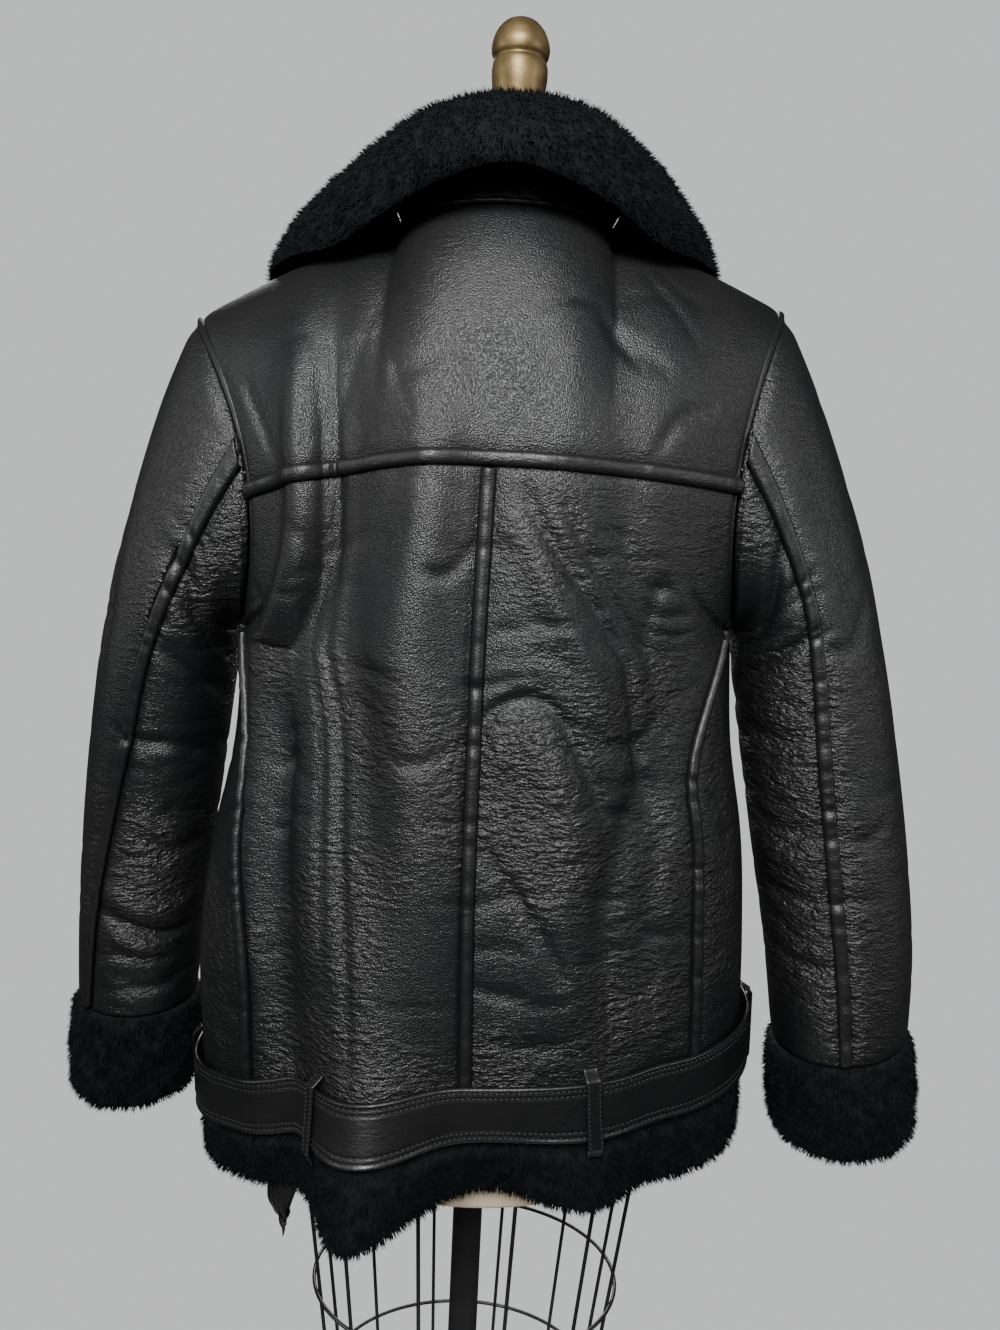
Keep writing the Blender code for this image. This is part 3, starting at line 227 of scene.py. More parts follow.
def leather(name, dark, light, gloss, crinkle_height, grain_height):
    made, shader, place = finish_start(name, {"IOR": 1.5, "Specular IOR Level": LEATHER_SHINE})
    crinkled = place.node("ShaderNodeAttribute", {"attribute_name": "crinkle"}, {}, "Fac")
    patches = place.noise(9.0, 3.0)
    flat = place.stretched(1.0, 1.0, 2.4).shaken(30.0, 0.006)
    long_folds, short_folds = ((flat.noise(scale) - 0.5).size() * 2.0 for scale in FOLD_SCALES[:2])
    small_folds = flat.noise(FOLD_SCALES[2])
    grain = place.shaken(300.0, 0.0006).cells(GRAIN_SCALE)
    amount = crinkled * (patches.step(0.36, 0.64) * 0.86 + 0.14)
    folds = long_folds * FOLD_SHARES[0] + short_folds * FOLD_SHARES[1] + small_folds * FOLD_SHARES[2]
    height = amount * crinkle_height * folds + grain * -grain_height
    plug(shader, place, patches.step(0.35, 0.7).between(dark, light),
         gloss + patches * 0.08 + small_folds * 0.12 + grain * 0.12, height)
    return made


LEATHER = leather("black_leather", (0.0030, 0.0036, 0.0040), (0.0062, 0.0060, 0.0058),
                  0.25, 0.0033, 0.00040)
WELT_LEATHER = leather("welt_leather", (0.0030, 0.0036, 0.0040), (0.0060, 0.0058, 0.0058),
                       0.27, 0.0006, 0.00020)
BELT_LEATHER = leather("belt_leather", (0.0030, 0.0033, 0.0036), (0.0060, 0.0058, 0.0058),
                       0.24, 0.0006, 0.00010)

# %% [markdown]
# Plush swallows light: it is nearly black face on and catches a faint cool haze
# where the pile is seen edge on, which the shader's sheen gives.

# %% Fur
def fur(name, dark, light):
    made, shader, place = finish_start(name, {"Sheen Weight": 0.012, "Sheen Roughness": 0.45,
                                              "Sheen Tint": (0.80, 0.88, 1.0, 1), "Specular IOR Level": 0.08})
    tufts = place.noise(120.0, 3.0, 0.6)
    plug(shader, place, tufts.step(0.35, 0.7).between(dark, light), tufts * 0.2 + 0.72,
         tufts * 0.0016 + place.noise(420.0, 2.0) * 0.0006)
    return made


FUR = fur("black_fur", (0.0016, 0.0019, 0.0023), (0.0052, 0.0060, 0.0075))

# %% [markdown]
# The stand's finishes are plain ones made uneven: cloth with a fine weave, brass
# with dull patches, and black paint with a little ripple.

# %% Cloth, metal and paint
def plain(name, dark, light, roughness, patch_scale, bump_scale, bump_height, fixed):
    made, shader, place = finish_start(name, fixed)
    patches = place.noise(patch_scale, 4.0, 0.6)
    fine = place.noise(bump_scale, 3.0)
    plug(shader, place, patches.step(0.3, 0.7).between(dark, light),
         roughness + patches * 0.14, fine * bump_height)
    return made


BRASS = plain("satin_brass", (0.105, 0.070, 0.030), (0.175, 0.125, 0.055), 0.40, 60.0, 500.0, 0.00010,
              {"Metallic": 0.75})
PAINT = plain("black_paint", (0.006, 0.006, 0.006), (0.012, 0.012, 0.013), 0.22, 12.0, 90.0, 0.00015, {})
DARK_METAL = plain("dark_metal", (0.13, 0.13, 0.14), (0.24, 0.24, 0.25), 0.24, 90.0, 800.0, 0.00003,
                   {"Metallic": 1.0})
THREAD = plain("black_thread", (0.008, 0.009, 0.010), (0.020, 0.021, 0.023), 0.50, 300.0, 2500.0, 0.00008, {})
FLOOR = plain("pale_floor", (0.70, 0.70, 0.69), (0.74, 0.74, 0.735), 0.80, 1.5, 40.0, 0.00005,
              {"Emission Color": ROOM_COLOUR, "Emission Strength": 0.43})
floor.data.materials.append(FLOOR)


def woven(name, dark, light, pitch, depth):
    """Crossing threads: two waves at right angles on the piece's own map, in metres."""
    made, shader, place = finish_start(name, {"Sheen Weight": 0.12, "Specular IOR Level": 0.3})
    chart = place.node("ShaderNodeUVMap", {}, {})
    axes = chart.node("ShaderNodeSeparateXYZ", {}, {0: chart}).out.node.outputs
    across, down = ((Socket(place.tree, axes[i]) * (math.tau / pitch)).sine() for i in (0, 1))
    threads = (across * down) * 0.5 + 0.5
    stains = place.noise(14.0, 4.0, 0.6)
    plug(shader, place, (stains * 0.7 + threads * 0.3).step(0.25, 0.75).between(dark, light),
         stains * 0.1 + 0.78, threads * depth)
    return made


FORM_CLOTH = woven("form_cloth", (0.62, 0.50, 0.34), (0.76, 0.66, 0.49), 0.0011, 0.00012)
ZIP_TAPE = woven("zip_tape", (0.010, 0.010, 0.011), (0.022, 0.022, 0.023), 0.0009, 0.00012)
print("finishes:", len(bpy.data.materials))

# %% [markdown]
# The room is pale where the camera sees it and dim as a light, which keeps the
# black skin's reflections dark between the lamps.

# %% A pale room that lights little
DIM_ROOM, PALE_ROOM = 0.055, 0.88
light_path = sky.node_tree.nodes.new("ShaderNodeLightPath")
seen = Socket(sky.node_tree, light_path.outputs["Is Camera Ray"])
paleness = seen * (PALE_ROOM - DIM_ROOM) + DIM_ROOM
sky.node_tree.links.new(paleness.out, sky_shader.inputs["Strength"])

# %% [markdown]
# ## The jacket's surface in numbers
# The body, sleeves and collar are smooth surfaces through a few measured rows,
# the same rows as the solids have. A place on the body is a column (0 at the
# centre back, 1 at the wearer's left side) and a level (0 at the belt, 1 at the
# yoke seam, 2 at the shoulder). Working on whole arrays keeps fine grids quick.

# %% Curves through rows
BODY_ROWS = (   # level, x_left, x_right, z_left, z_back, z_right, z_front, depth_back, depth_front, centre_x
    (-0.158, 0.2215, -0.2195, 0.729, 0.782, 0.766, 0.735, 0.133, 0.146, 0.001),
    (0.00, 0.2235, -0.2165, 0.795, 0.852, 0.857, 0.800, 0.138, 0.146, 0.004),
    (0.20, 0.2275, -0.2125, 0.905, 0.941, 0.940, 0.905, 0.137, 0.144, 0.007),
    (0.40, 0.2160, -0.2040, 1.005, 1.030, 1.025, 1.010, 0.134, 0.146, 0.009),
    (0.55, 0.2000, -0.1900, 1.083, 1.096, 1.098, 1.085, 0.132, 0.149, 0.009),
    (0.70, 0.1950, -0.1830, 1.165, 1.163, 1.180, 1.163, 0.131, 0.147, 0.009),
    (1.00, 0.0, 0.0, 0.0, 1.296, 0.0, 1.290, 0.128, 0.130, 0.007),
)
FOLD_LEVELS = (-0.158, 0.0, 0.25, 0.60, 1.0, 1.45)
BACK_FOLDS = (   # column at the belt, column at the yoke, width, then the height at each level
    (0.19, 0.20, 0.110, 0.066, 0.033, 0.017, 0.008, 0.005, 0.000),
    (0.37, 0.56, 0.070, 0.000, -0.005, -0.010, -0.010, -0.007, 0.000),
    (0.49, 0.70, 0.070, 0.002, 0.003, 0.006, 0.008, 0.006, 0.000),
    (-0.06, 0.02, 0.080, -0.006, 0.000, -0.002, -0.003, -0.002, 0.000),
    (-0.24, -0.22, 0.110, 0.020, 0.004, 0.005, 0.004, 0.003, 0.000),
    (-0.42, -0.46, 0.080, -0.002, -0.003, -0.007, -0.006, -0.002, 0.000),
)
FRONT_FOLDS = (
    (0.45, 0.55, 0.110, 0.014, 0.006, 0.007, 0.006, 0.002, 0.000),
    (-0.40, -0.52, 0.110, 0.016, 0.006, 0.006, 0.006, 0.002, 0.000),
)
HOLES = {   # centre x, centre z, half vector to the shoulder point x, z, half depth, dish
    1: (0.2137, 1.2795, 0.0187, 0.1145, 0.075, 0.036),
    -1: (-0.1943, 1.2985, -0.0113, 0.1185, 0.075, 0.027),
}
NECK_HALF, NECK_BACK_DEPTH, NECK_Y, NECK_MIDDLE, NECK_COLUMN = 0.080, 0.066, 0.004, 0.004, 0.40
NECK_Z_BACK, NECK_Z_FRONT, NECK_Z_SIDE = 1.4680, 1.4050, {1: 1.4640, -1: 1.4680}
UNDERARM_LEVEL, SIDE_SEAM_TOP, HEM_LEVEL, BREAK_LEVEL = 0.70, 0.80, -0.158, 0.76
ARMHOLE_AT_YOKE = math.radians(95.0)
BACK_HEIGHT, YOKE_HEIGHT, HALF_GIRTH = 0.444, 0.200, 0.335


class Smooth:
    """A smooth curve through values at knots; it takes whole arrays of places."""

    def __init__(self, knots, values):
        self.knots, self.values = np.array(knots, float), np.array(values, float)
        self.slopes = np.gradient(self.values, self.knots, axis=0)

    def __call__(self, at):
        at = np.clip(at, self.knots[0], self.knots[-1])
        i = np.clip(np.searchsorted(self.knots, at) - 1, 0, len(self.knots) - 2)
        span = self.knots[i + 1] - self.knots[i]
        t = (at - self.knots[i]) / span
        if self.values.ndim > 1:
            span, t = span[..., None], t[..., None]
        return ((2 * t**3 - 3 * t**2 + 1) * self.values[i] + (t**3 - 2 * t**2 + t) * span * self.slopes[i]
                + (3 * t**2 - 2 * t**3) * self.values[i + 1] + (t**3 - t**2) * span * self.slopes[i + 1])


def mix(a, b, share):
    return a + (b - a) * share


def ramp(low, high, value):
    t = np.clip((value - low) / (high - low), 0.0, 1.0)
    return t * t * (3 - 2 * t)


def points(x, y, z):
    return np.stack(np.broadcast_arrays(x, y, z), -1).astype(float)


def unit(v):
    return v / np.maximum(np.linalg.norm(v, axis=-1, keepdims=True), 1e-12)


def pick(sign, table, *keys):
    """The left or the right side's value at each place."""
    left, right_side = table[1], table[-1]
    for key in keys:
        left, right_side = left[key], right_side[key]
    return np.where(sign > 0, left, right_side)


LEVEL_KNOTS = [row[0] for row in BODY_ROWS]
X_SIDE = {1: Smooth(LEVEL_KNOTS[:-1], [row[1] for row in BODY_ROWS[:-1]]),
          -1: Smooth(LEVEL_KNOTS[:-1], [row[2] for row in BODY_ROWS[:-1]])}
Z_SIDE = {1: Smooth(LEVEL_KNOTS[:-1], [row[3] for row in BODY_ROWS[:-1]]),
          -1: Smooth(LEVEL_KNOTS[:-1], [row[5] for row in BODY_ROWS[:-1]])}
Z_BACK, Z_FRONT, DEPTH_BACK, DEPTH_FRONT, CENTRE_X = (
    Smooth(LEVEL_KNOTS, [row[i] for row in BODY_ROWS]) for i in (4, 6, 7, 8, 9))
FOLDS = [[(*row[:3], Smooth(FOLD_LEVELS, row[3:])) for row in rows] for rows in (BACK_FOLDS, FRONT_FOLDS)]


# %% Places on the body
def signs(column):
    return np.where(column >= 0, 1.0, -1.0)


def armhole(sign, angle):
    c, s = np.cos(angle), np.sin(angle)
    return points(pick(sign, HOLES, 0) + pick(sign, HOLES, 2) * c - sign * pick(sign, HOLES, 5) * s * s,
                  pick(sign, HOLES, 4) * s, pick(sign, HOLES, 1) + pick(sign, HOLES, 3) * c)


def armhole_angle(level):
    below = mix(math.pi, ARMHOLE_AT_YOKE, np.clip((level - UNDERARM_LEVEL) / (1 - UNDERARM_LEVEL), 0, 1))
    return np.where(level <= 1, below, ARMHOLE_AT_YOKE * (2.0 - level))


def side_end(sign, level):
    low = points(np.where(sign > 0, X_SIDE[1](level), X_SIDE[-1](level)), 0.0,
                 np.where(sign > 0, Z_SIDE[1](level), Z_SIDE[-1](level)))
    return np.where((level > UNDERARM_LEVEL)[..., None], armhole(sign, armhole_angle(level)), low)


def fold_height(column, level, front):
    heights = []
    for rows in FOLDS:
        total = np.zeros_like(column)
        for low, high, width, amount in rows:
            place = mix(low, high, np.clip(level, 0, 1))
            total = total + amount(level) * np.exp(-((column - place) / width) ** 2)
        heights.append(total)
    return np.where(front, heights[1], heights[0]) * (1 - np.abs(column) ** 8)


def oval_points(column, level, front):
    sign = signs(column)
    end = side_end(sign, level)
    depth = np.where(front, DEPTH_FRONT(level), DEPTH_BACK(level))
    middle = CENTRE_X(level)
    start = np.arcsin(np.minimum(np.abs(end[..., 1]) / depth, 0.97))
    half = (end[..., 0] - middle) / np.cos(start)
    angle = math.pi / 2 - (math.pi / 2 - start) * np.abs(column)
    share = (np.cos(angle) / np.cos(start)) ** 2
    x, y = half * np.cos(angle), depth * np.sin(angle)
    out = unit(points(x / half**2, y / depth**2, 0.0)) * fold_height(column, level, front)[..., None]
    z = mix(np.where(front, Z_FRONT(level), Z_BACK(level)), end[..., 2], share)
    return points(middle + x + out[..., 0], np.where(front, -1.0, 1.0) * (y + out[..., 1]), z)


def neck_points(sign, angle, front):
    z_middle = np.where(front, NECK_Z_FRONT, NECK_Z_BACK)
    return points(NECK_MIDDLE + sign * (NECK_HALF - 0.004) * np.sin(angle),
                  NECK_Y + np.where(front, -1, 1) * NECK_BACK_DEPTH * np.cos(angle),
                  mix(z_middle, pick(sign, NECK_Z_SIDE), np.sin(angle) ** 2))


def top_row(column, front):
    sign, place = signs(column), np.abs(column)
    neck = neck_points(sign, math.pi / 2 * np.minimum(place / NECK_COLUMN, 1), front)
    share = np.clip((place - NECK_COLUMN) / (1 - NECK_COLUMN), 0, 1)
    corner, tip = neck_points(sign, math.pi / 2, False), armhole(sign, np.zeros_like(column))
    seam = mix(corner, tip, share[..., None])
    seam[..., 2] = mix(corner[..., 2], tip[..., 2], share**1.3)
    return np.where((place <= NECK_COLUMN)[..., None], neck, seam)


def raw_yoke(column, level, front):
    facing, zero = np.where(front, -1.0, 1.0), np.zeros_like(column)
    t = (level - 1.0)[..., None]
    low, top = oval_points(column, zero + 1.0, front), top_row(column, front)
    outer = ramp(0.0, NECK_COLUMN * 1.3, np.abs(column))[..., None]
    low_slope = points(0.0, facing * 0.006, 0.200)
    top_slope = mix(points(0.0, -facing * 0.105, 0.130), points(0.0, -facing * 0.150, 0.030), outer)
    return ((2 * t**3 - 3 * t**2 + 1) * low + (t**3 - 2 * t**2 + t) * low_slope
            + (3 * t**2 - 2 * t**3) * top + (t**3 - t**2) * top_slope)


def body_points(column, level, front):
    """Outer surface of the body at arrays of columns and levels."""
    column, level, front = np.broadcast_arrays(np.asarray(column, float), np.asarray(level, float), front)
    low = oval_points(column, np.minimum(level, 1.0), front)
    high_level = np.maximum(level, 1.0)
    sign = signs(column)
    true_edge = side_end(sign, high_level) * points(1.0, np.where(front, -1.0, 1.0), 1.0)
    high = raw_yoke(column, high_level, front)
    high = high + (true_edge - raw_yoke(sign, high_level, front)) * (np.abs(column) ** 4)[..., None]
    fold = (fold_height(column, high_level, front)
            - fold_height(column, np.ones_like(column), front) * (2.0 - high_level) ** 2)
    high[..., 1] += np.where(front, -1.0, 1.0) * fold * 0.5
    return np.where((level <= 1.0)[..., None], low, high)


# %% Places on the sleeves
SLEEVES = {   # share of the length, centre x, y, z, half vector to the outer edge x, z, half depth, dish
    1: ((0.00, 0.2137, 0.000, 1.2795, 0.0187, 0.1145, 0.075, 0.036),
        (0.11, 0.2285, 0.000, 1.2500, 0.0300, 0.0800, 0.073, 0.023),
        (0.22, 0.2438, -0.001, 1.2010, 0.0422, 0.0380, 0.070, 0.010),
        (0.36, 0.2545, -0.004, 1.1440, 0.0490, 0.0160, 0.065, 0.000),
        (0.52, 0.2665, -0.010, 1.0700, 0.0510, 0.0120, 0.061, 0.000),
        (0.68, 0.2780, -0.018, 0.9930, 0.0510, 0.0090, 0.058, 0.000),
        (0.84, 0.2880, -0.025, 0.9170, 0.0490, 0.0060, 0.056, 0.000),
        (1.00, 0.2935, -0.030, 0.8420, 0.0480, 0.0030, 0.054, 0.000)),
    -1: ((0.00, -0.1943, 0.000, 1.2985, -0.0113, 0.1185, 0.075, 0.027),
         (0.11, -0.2120, 0.000, 1.2670, -0.0260, 0.0850, 0.074, 0.017),
         (0.22, -0.2310, 0.001, 1.2180, -0.0440, 0.0420, 0.071, 0.007),
         (0.36, -0.2450, 0.004, 1.1580, -0.0540, 0.0180, 0.067, 0.000),
         (0.52, -0.2610, 0.008, 1.0810, -0.0570, 0.0130, 0.064, 0.000),
         (0.68, -0.2755, 0.012, 1.0050, -0.0575, 0.0100, 0.062, 0.000),
         (0.84, -0.2880, 0.016, 0.9300, -0.0560, 0.0060, 0.059, 0.000),
         (1.00, -0.2955, 0.018, 0.8580, -0.0515, 0.0100, 0.056, 0.000)),
}
SLEEVE_BACK_SEAM = {   # degrees, at even steps down the sleeve
    1: (92.0, 89.0, 77.0, 64.0, 56.0),
    -1: (93.0, 101.0, 104.0, 105.0, 103.0),
}
SLEEVE_LENGTH, SLEEVE_RADIUS = 0.47, 0.056
CUFF_HEIGHT = {1: 0.084, -1: 0.076}
CUFF_PROUD = 0.007
SIDE_NAMES = {1: "left", -1: "right"}
YOKE_ROWS = 7
BACK_SEAM_START = ARMHOLE_AT_YOKE * (1 - 1 / YOKE_ROWS)
FRONT_SEAM_ANGLE = -ARMHOLE_AT_YOKE * (1 - 2 / YOKE_ROWS)
RINGS = {side: [Smooth([row[0] for row in rows], [row[i] for row in rows]) for i in range(1, 8)]
         for side, rows in SLEEVES.items()}
SLEEVE_DROP = {side: (np.array(rows[-1][1:4]) - np.array(rows[-2][1:4])) / (rows[-1][0] - rows[-2][0])
               for side, rows in SLEEVES.items()}


def sleeve_points(side, angle, share):
    """Angle 0 is the outer edge and a quarter turn is the back; share 1 is the cuff seam."""
    x, y, z, half_x, half_z, half_y, dish = (curve(share) for curve in RINGS[side])
    c, s = np.cos(angle), np.sin(angle)
    below = np.maximum(share - 1.0, 0.0)[..., None] * SLEEVE_DROP[side]
    return points(x + half_x * c - side * dish * s * s, y + half_y * s, z + half_z * c) + below


def sleeve_middle(side, share):
    x, y, z = (curve(share) for curve in RINGS[side][:3])
    return points(x, y, z) + np.maximum(share - 1.0, 0.0)[..., None] * SLEEVE_DROP[side]


def back_seam_angle(side, share):
    knots = (math.degrees(BACK_SEAM_START),) + SLEEVE_BACK_SEAM[side]
    return np.radians(Smooth(np.linspace(0, 1, len(knots)), knots)(share))


here = body_points(np.array([0.0, 1.0]), np.array([0.0, 1.0]), False)
print("centre back at the belt:", here[0].round(3), "left armhole at the yoke:", here[1].round(3))

# %% [markdown]
# ## Creases
# The big folds are in the surface already. What hangs on them is a set of soft
# troughs and ridges, each drawn as a line of places with a height and a
# width, and a scatter of small level wrinkles whose length, depth and spacing
# are all uneven. They run on across the seams, as they do in stiff leather.

# %% Troughs and ridges
BODY_CREASES = (   # height mm, width mm, then column and level of each point, on the back
    (-2.4, 4, (0.57, 1.42), (0.56, 1.15), (0.54, 0.93), (0.47, 0.80), (0.35, 0.63), (0.30, 0.48),
     (0.26, 0.33), (0.23, 0.19), (0.22, 0.02)),
    (4.6, 21, (0.66, 1.45), (0.67, 1.14), (0.64, 0.88), (0.56, 0.75), (0.45, 0.58), (0.40, 0.44),
     (0.35, 0.33), (0.32, 0.19), (0.31, 0.02)),
    (-5.6, 25, (0.48, 1.40), (0.47, 1.12), (0.45, 0.90), (0.38, 0.78), (0.27, 0.62), (0.22, 0.48),
     (0.185, 0.33), (0.16, 0.19), (0.15, 0.06)),
    (-1.6, 3, (0.61, 1.38), (0.60, 1.15), (0.585, 0.93), (0.505, 0.80), (0.395, 0.63), (0.345, 0.48),
     (0.305, 0.33), (0.28, 0.19)),
    (4.0, 30, (0.20, 1.20), (0.19, 0.95), (0.17, 0.75), (0.12, 0.50), (0.08, 0.28), (0.07, 0.06)),
    (-3.2, 6, (-0.11, 0.97), (-0.17, 0.91), (-0.31, 0.79), (-0.38, 0.62), (-0.43, 0.46)),
    (-2.2, 6, (-0.24, 0.95), (-0.36, 0.82), (-0.45, 0.66)),
    (2.2, 12, (-0.06, 0.92), (-0.16, 0.84), (-0.25, 0.70), (-0.33, 0.56)),
    (-3.2, 5, (0.00, 0.60), (-0.06, 0.64), (-0.13, 0.65), (-0.19, 0.62), (-0.25, 0.54), (-0.30, 0.45)),
    (3.2, 15, (-0.04, 0.55), (-0.13, 0.57), (-0.20, 0.50), (-0.22, 0.40)),
    (-2.6, 6, (-0.01, 0.44), (-0.07, 0.37), (-0.15, 0.28), (-0.20, 0.20)),
    (-4.5, 15, (-0.42, 0.54), (-0.33, 0.42), (-0.29, 0.30), (-0.30, 0.17), (-0.32, 0.03)),
    (3.5, 18, (-0.52, 0.50), (-0.46, 0.33), (-0.44, 0.18), (-0.45, 0.04)),
    (-2.0, 7, (-0.47, 0.62), (-0.40, 0.57), (-0.30, 0.58), (-0.24, 0.60)),
    (-1.8, 6, (-0.60, 0.86), (-0.50, 0.80), (-0.42, 0.70)),
    (-1.6, 5, (0.02, 0.88), (0.10, 0.83), (0.17, 0.84)),
    (-1.3, 5, (0.04, 0.58), (0.12, 0.55), (0.20, 0.56)),
    (-1.3, 7, (0.10, 1.40), (0.20, 1.30), (0.34, 1.26)),
    (-1.3, 6, (-0.04, 1.03), (-0.10, 1.16), (-0.20, 1.30)),
    (-1.2, 7, (-0.30, 1.50), (-0.42, 1.38), (-0.60, 1.32)),
    (-1.4, 6, (-0.55, 1.05), (-0.66, 1.18), (-0.82, 1.24)),
    (-1.6, 7, (0.80, 1.06), (0.86, 1.20), (0.90, 1.36)),
    (-2.2, 7, (0.72, 0.86), (0.80, 0.78), (0.93, 0.75)),
    (-2.2, 7, (-0.68, 0.84), (-0.80, 0.77), (-0.93, 0.75)),
)
FRONT_CREASES = (
    (-3.0, 12, (0.30, 0.80), (0.36, 0.60), (0.34, 0.36), (0.30, 0.12)),
    (2.6, 14, (0.52, 0.85), (0.55, 0.60), (0.50, 0.34), (0.46, 0.05)),
    (-2.4, 7, (0.90, 0.84), (0.78, 0.74), (0.60, 0.68)),
    (-2.0, 7, (0.80, 0.56), (0.68, 0.50), (0.55, 0.50)),
    (-1.8, 6, (0.12, 0.42), (0.24, 0.36), (0.36, 0.38)),
    (-3.0, 13, (-0.28, 0.82), (-0.34, 0.60), (-0.36, 0.34), (-0.32, 0.10)),
    (2.6, 14, (-0.50, 0.86), (-0.54, 0.58), (-0.52, 0.30), (-0.48, 0.04)),
    (-2.4, 7, (-0.92, 0.86), (-0.80, 0.76), (-0.62, 0.70)),
    (-2.2, 7, (-0.84, 0.52), (-0.70, 0.47), (-0.52, 0.49)),
    (-1.6, 6, (-0.10, 0.50), (-0.22, 0.45), (-0.36, 0.47)),
    (-1.4, 8, (0.60, 1.10), (0.72, 1.22), (0.86, 1.26)),
    (-1.4, 8, (-0.58, 1.12), (-0.70, 1.20), (-0.88, 1.28)),
)


def chart_place(column, level):
    """Columns and levels as metres on a flat chart of the body."""
    z = np.where(level <= 1, level * BACK_HEIGHT, BACK_HEIGHT + (level - 1) * YOKE_HEIGHT)
    return np.asarray(column) * HALF_GIRTH, z


def trough(x, z, height, width, line_x, line_z):
    """Height of a soft ridge along a line, thinning to nothing at both ends."""
    count = 4 * len(line_x)
    knots, ends = np.arange(len(line_x)), np.linspace(0, len(line_x) - 1, count)
    lx, lz = Smooth(knots, line_x)(ends), Smooth(knots, line_z)(ends)
    best, along = np.full(x.shape, 9.0), np.zeros(x.shape)
    for i in range(count - 1):
        dx, dz = lx[i + 1] - lx[i], lz[i + 1] - lz[i]
        t = np.clip(((x - lx[i]) * dx + (z - lz[i]) * dz) / (dx * dx + dz * dz + 1e-12), 0, 1)
        away = np.hypot(x - lx[i] - t * dx, z - lz[i] - t * dz)
        nearer = away < best
        best, along = np.where(nearer, away, best), np.where(nearer, (i + t) / (count - 1), along)
    fade = np.sin(math.pi * np.clip(along, 0.001, 0.999)) ** 0.45
    return height * fade * np.exp(-(best / width) ** 2)


def scatter(seed, count, x_range, z_range, length, depth, width, tilt=0.25):
    """Small wrinkles, mostly level: each a short bowed line with its own depth and width."""
    random = np.random.default_rng(seed)
    made = []
    for _ in range(count):
        x, z = random.uniform(*x_range), random.uniform(*z_range)
        half = random.uniform(*length) / 2
        lean, bow = random.normal(0, tilt), random.normal(0, 0.12)
        line_x = [x - half, x, x + half]
        line_z = [z - half * lean, z + half * bow, z + half * lean]
        made.append((-random.uniform(*depth), random.uniform(*width), line_x, line_z))
    return made


BACK_WRINKLES = (
    scatter(11, 60, (-0.27, 0.33), (0.02, 0.44), (0.025, 0.085), (0.0005, 0.0014), (0.0028, 0.0050))
    + scatter(12, 55, (-0.20, -0.01), (0.03, 0.42), (0.020, 0.060), (0.0006, 0.0016), (0.0028, 0.0045))
    + scatter(13, 26, (0.14, 0.28), (0.04, 0.40), (0.015, 0.045), (0.0006, 0.0015), (0.0028, 0.0042))
    + scatter(14, 26, (-0.26, 0.26), (0.45, 0.58), (0.030, 0.090), (0.0003, 0.0008),
              (0.0035, 0.0060), 0.5))
FRONT_WRINKLES = (
    scatter(21, 80, (-0.33, 0.33), (0.02, 0.42), (0.025, 0.080), (0.0005, 0.0013), (0.0030, 0.0050))
    + scatter(22, 20, (-0.30, 0.30), (0.44, 0.58), (0.030, 0.080), (0.0003, 0.0008),
              (0.0035, 0.0060), 0.5))
BODY_RELIEFS = ((False, BODY_CREASES, BACK_WRINKLES), (True, FRONT_CREASES, FRONT_WRINKLES))
HAND_DRAWN_GAIN = 1.55      # heights in the tables are multiplied by this


def total_relief(x, z, hand_drawn, small, place_of):
    rise = np.zeros_like(x)
    for height, width, *line in hand_drawn:
        line_x, line_z = place_of(np.array([p[0] for p in line]), np.array([p[1] for p in line]))
        rise = rise + trough(x, z, HAND_DRAWN_GAIN * height / 1000, width / 1000, line_x, line_z)
    for depth, width, line_x, line_z in small:
        near = (np.abs(x - line_x[1]) < 0.08) & (np.abs(z - line_z[1]) < 0.05)
        if near.any():
            rise[near] += trough(x[near], z[near], depth, width, line_x, line_z)
    return rise


def body_relief(column, level, front):
    x, z = chart_place(column, level)
    rise = np.zeros_like(x)
    for facing, hand_drawn, small in BODY_RELIEFS:
        here = front == facing
        if here.any():
            rise[here] = total_relief(x[here], z[here], hand_drawn, small, chart_place)
    return rise * (1 - 0.6 * ramp(0.90, 1.0, np.abs(column)) * ramp(0.6, 0.72, level))


# %% [markdown]
# How crinkled the skin is follows the folds too: it is smooth across the yoke
# and on the broad ridge beside the centre, and crowded in the hollows.

# %% Crinkled places
SMOOTH_SPOTS = (   # column, level, half width and half height of a smooth place on the back, in metres
    (0.16, 0.78, 0.055, 0.130), (0.13, 0.50, 0.040, 0.110), (0.10, 0.26, 0.045, 0.120),
    (0.44, 0.92, 0.060, 0.090), (-0.62, 0.75, 0.050, 0.090),
)


def body_crinkle(column, level, front):
    x, z = chart_place(column, level)
    calm = np.zeros_like(x)
    for spot_column, spot_level, half_wide, half_high in SMOOTH_SPOTS:
        sx, sz = chart_place(spot_column, np.asarray(spot_level, float))
        calm = np.maximum(calm, np.exp(-((x - sx) / half_wide) ** 2 - ((z - sz) / half_high) ** 2))
    grown = mix(1.0, 0.14, ramp(0.70, 1.08, level + 0.22 * ramp(-0.3, 0.5, column)))
    return np.clip(grown * (1 - 0.72 * calm), 0.06, 1.0)


# %% [markdown]
# ## Laying the cloth
# A grid is bent onto the surface point by point, raised by its creases, and
# rolled in at the edges that are sewn, so that every seam is a real groove. A
# Solidify modifier then gives the wall its thickness, inwards. The size of each
# sheet's flat cut is measured on the surface before creasing and printed.

# %% Cloth from a grid
CELL, FRONT_CELL, STAND_CELL, WELT_CELL = 0.003696, 0.004928, 0.002464, 0.001792   # grid steps
FUR_CELL, HEM_CELL = 0.00504, 0.005152
WALL = 0.0026
SEAM_ROLL, SEAM_ROLL_WIDTH = 0.0030, 0.0070


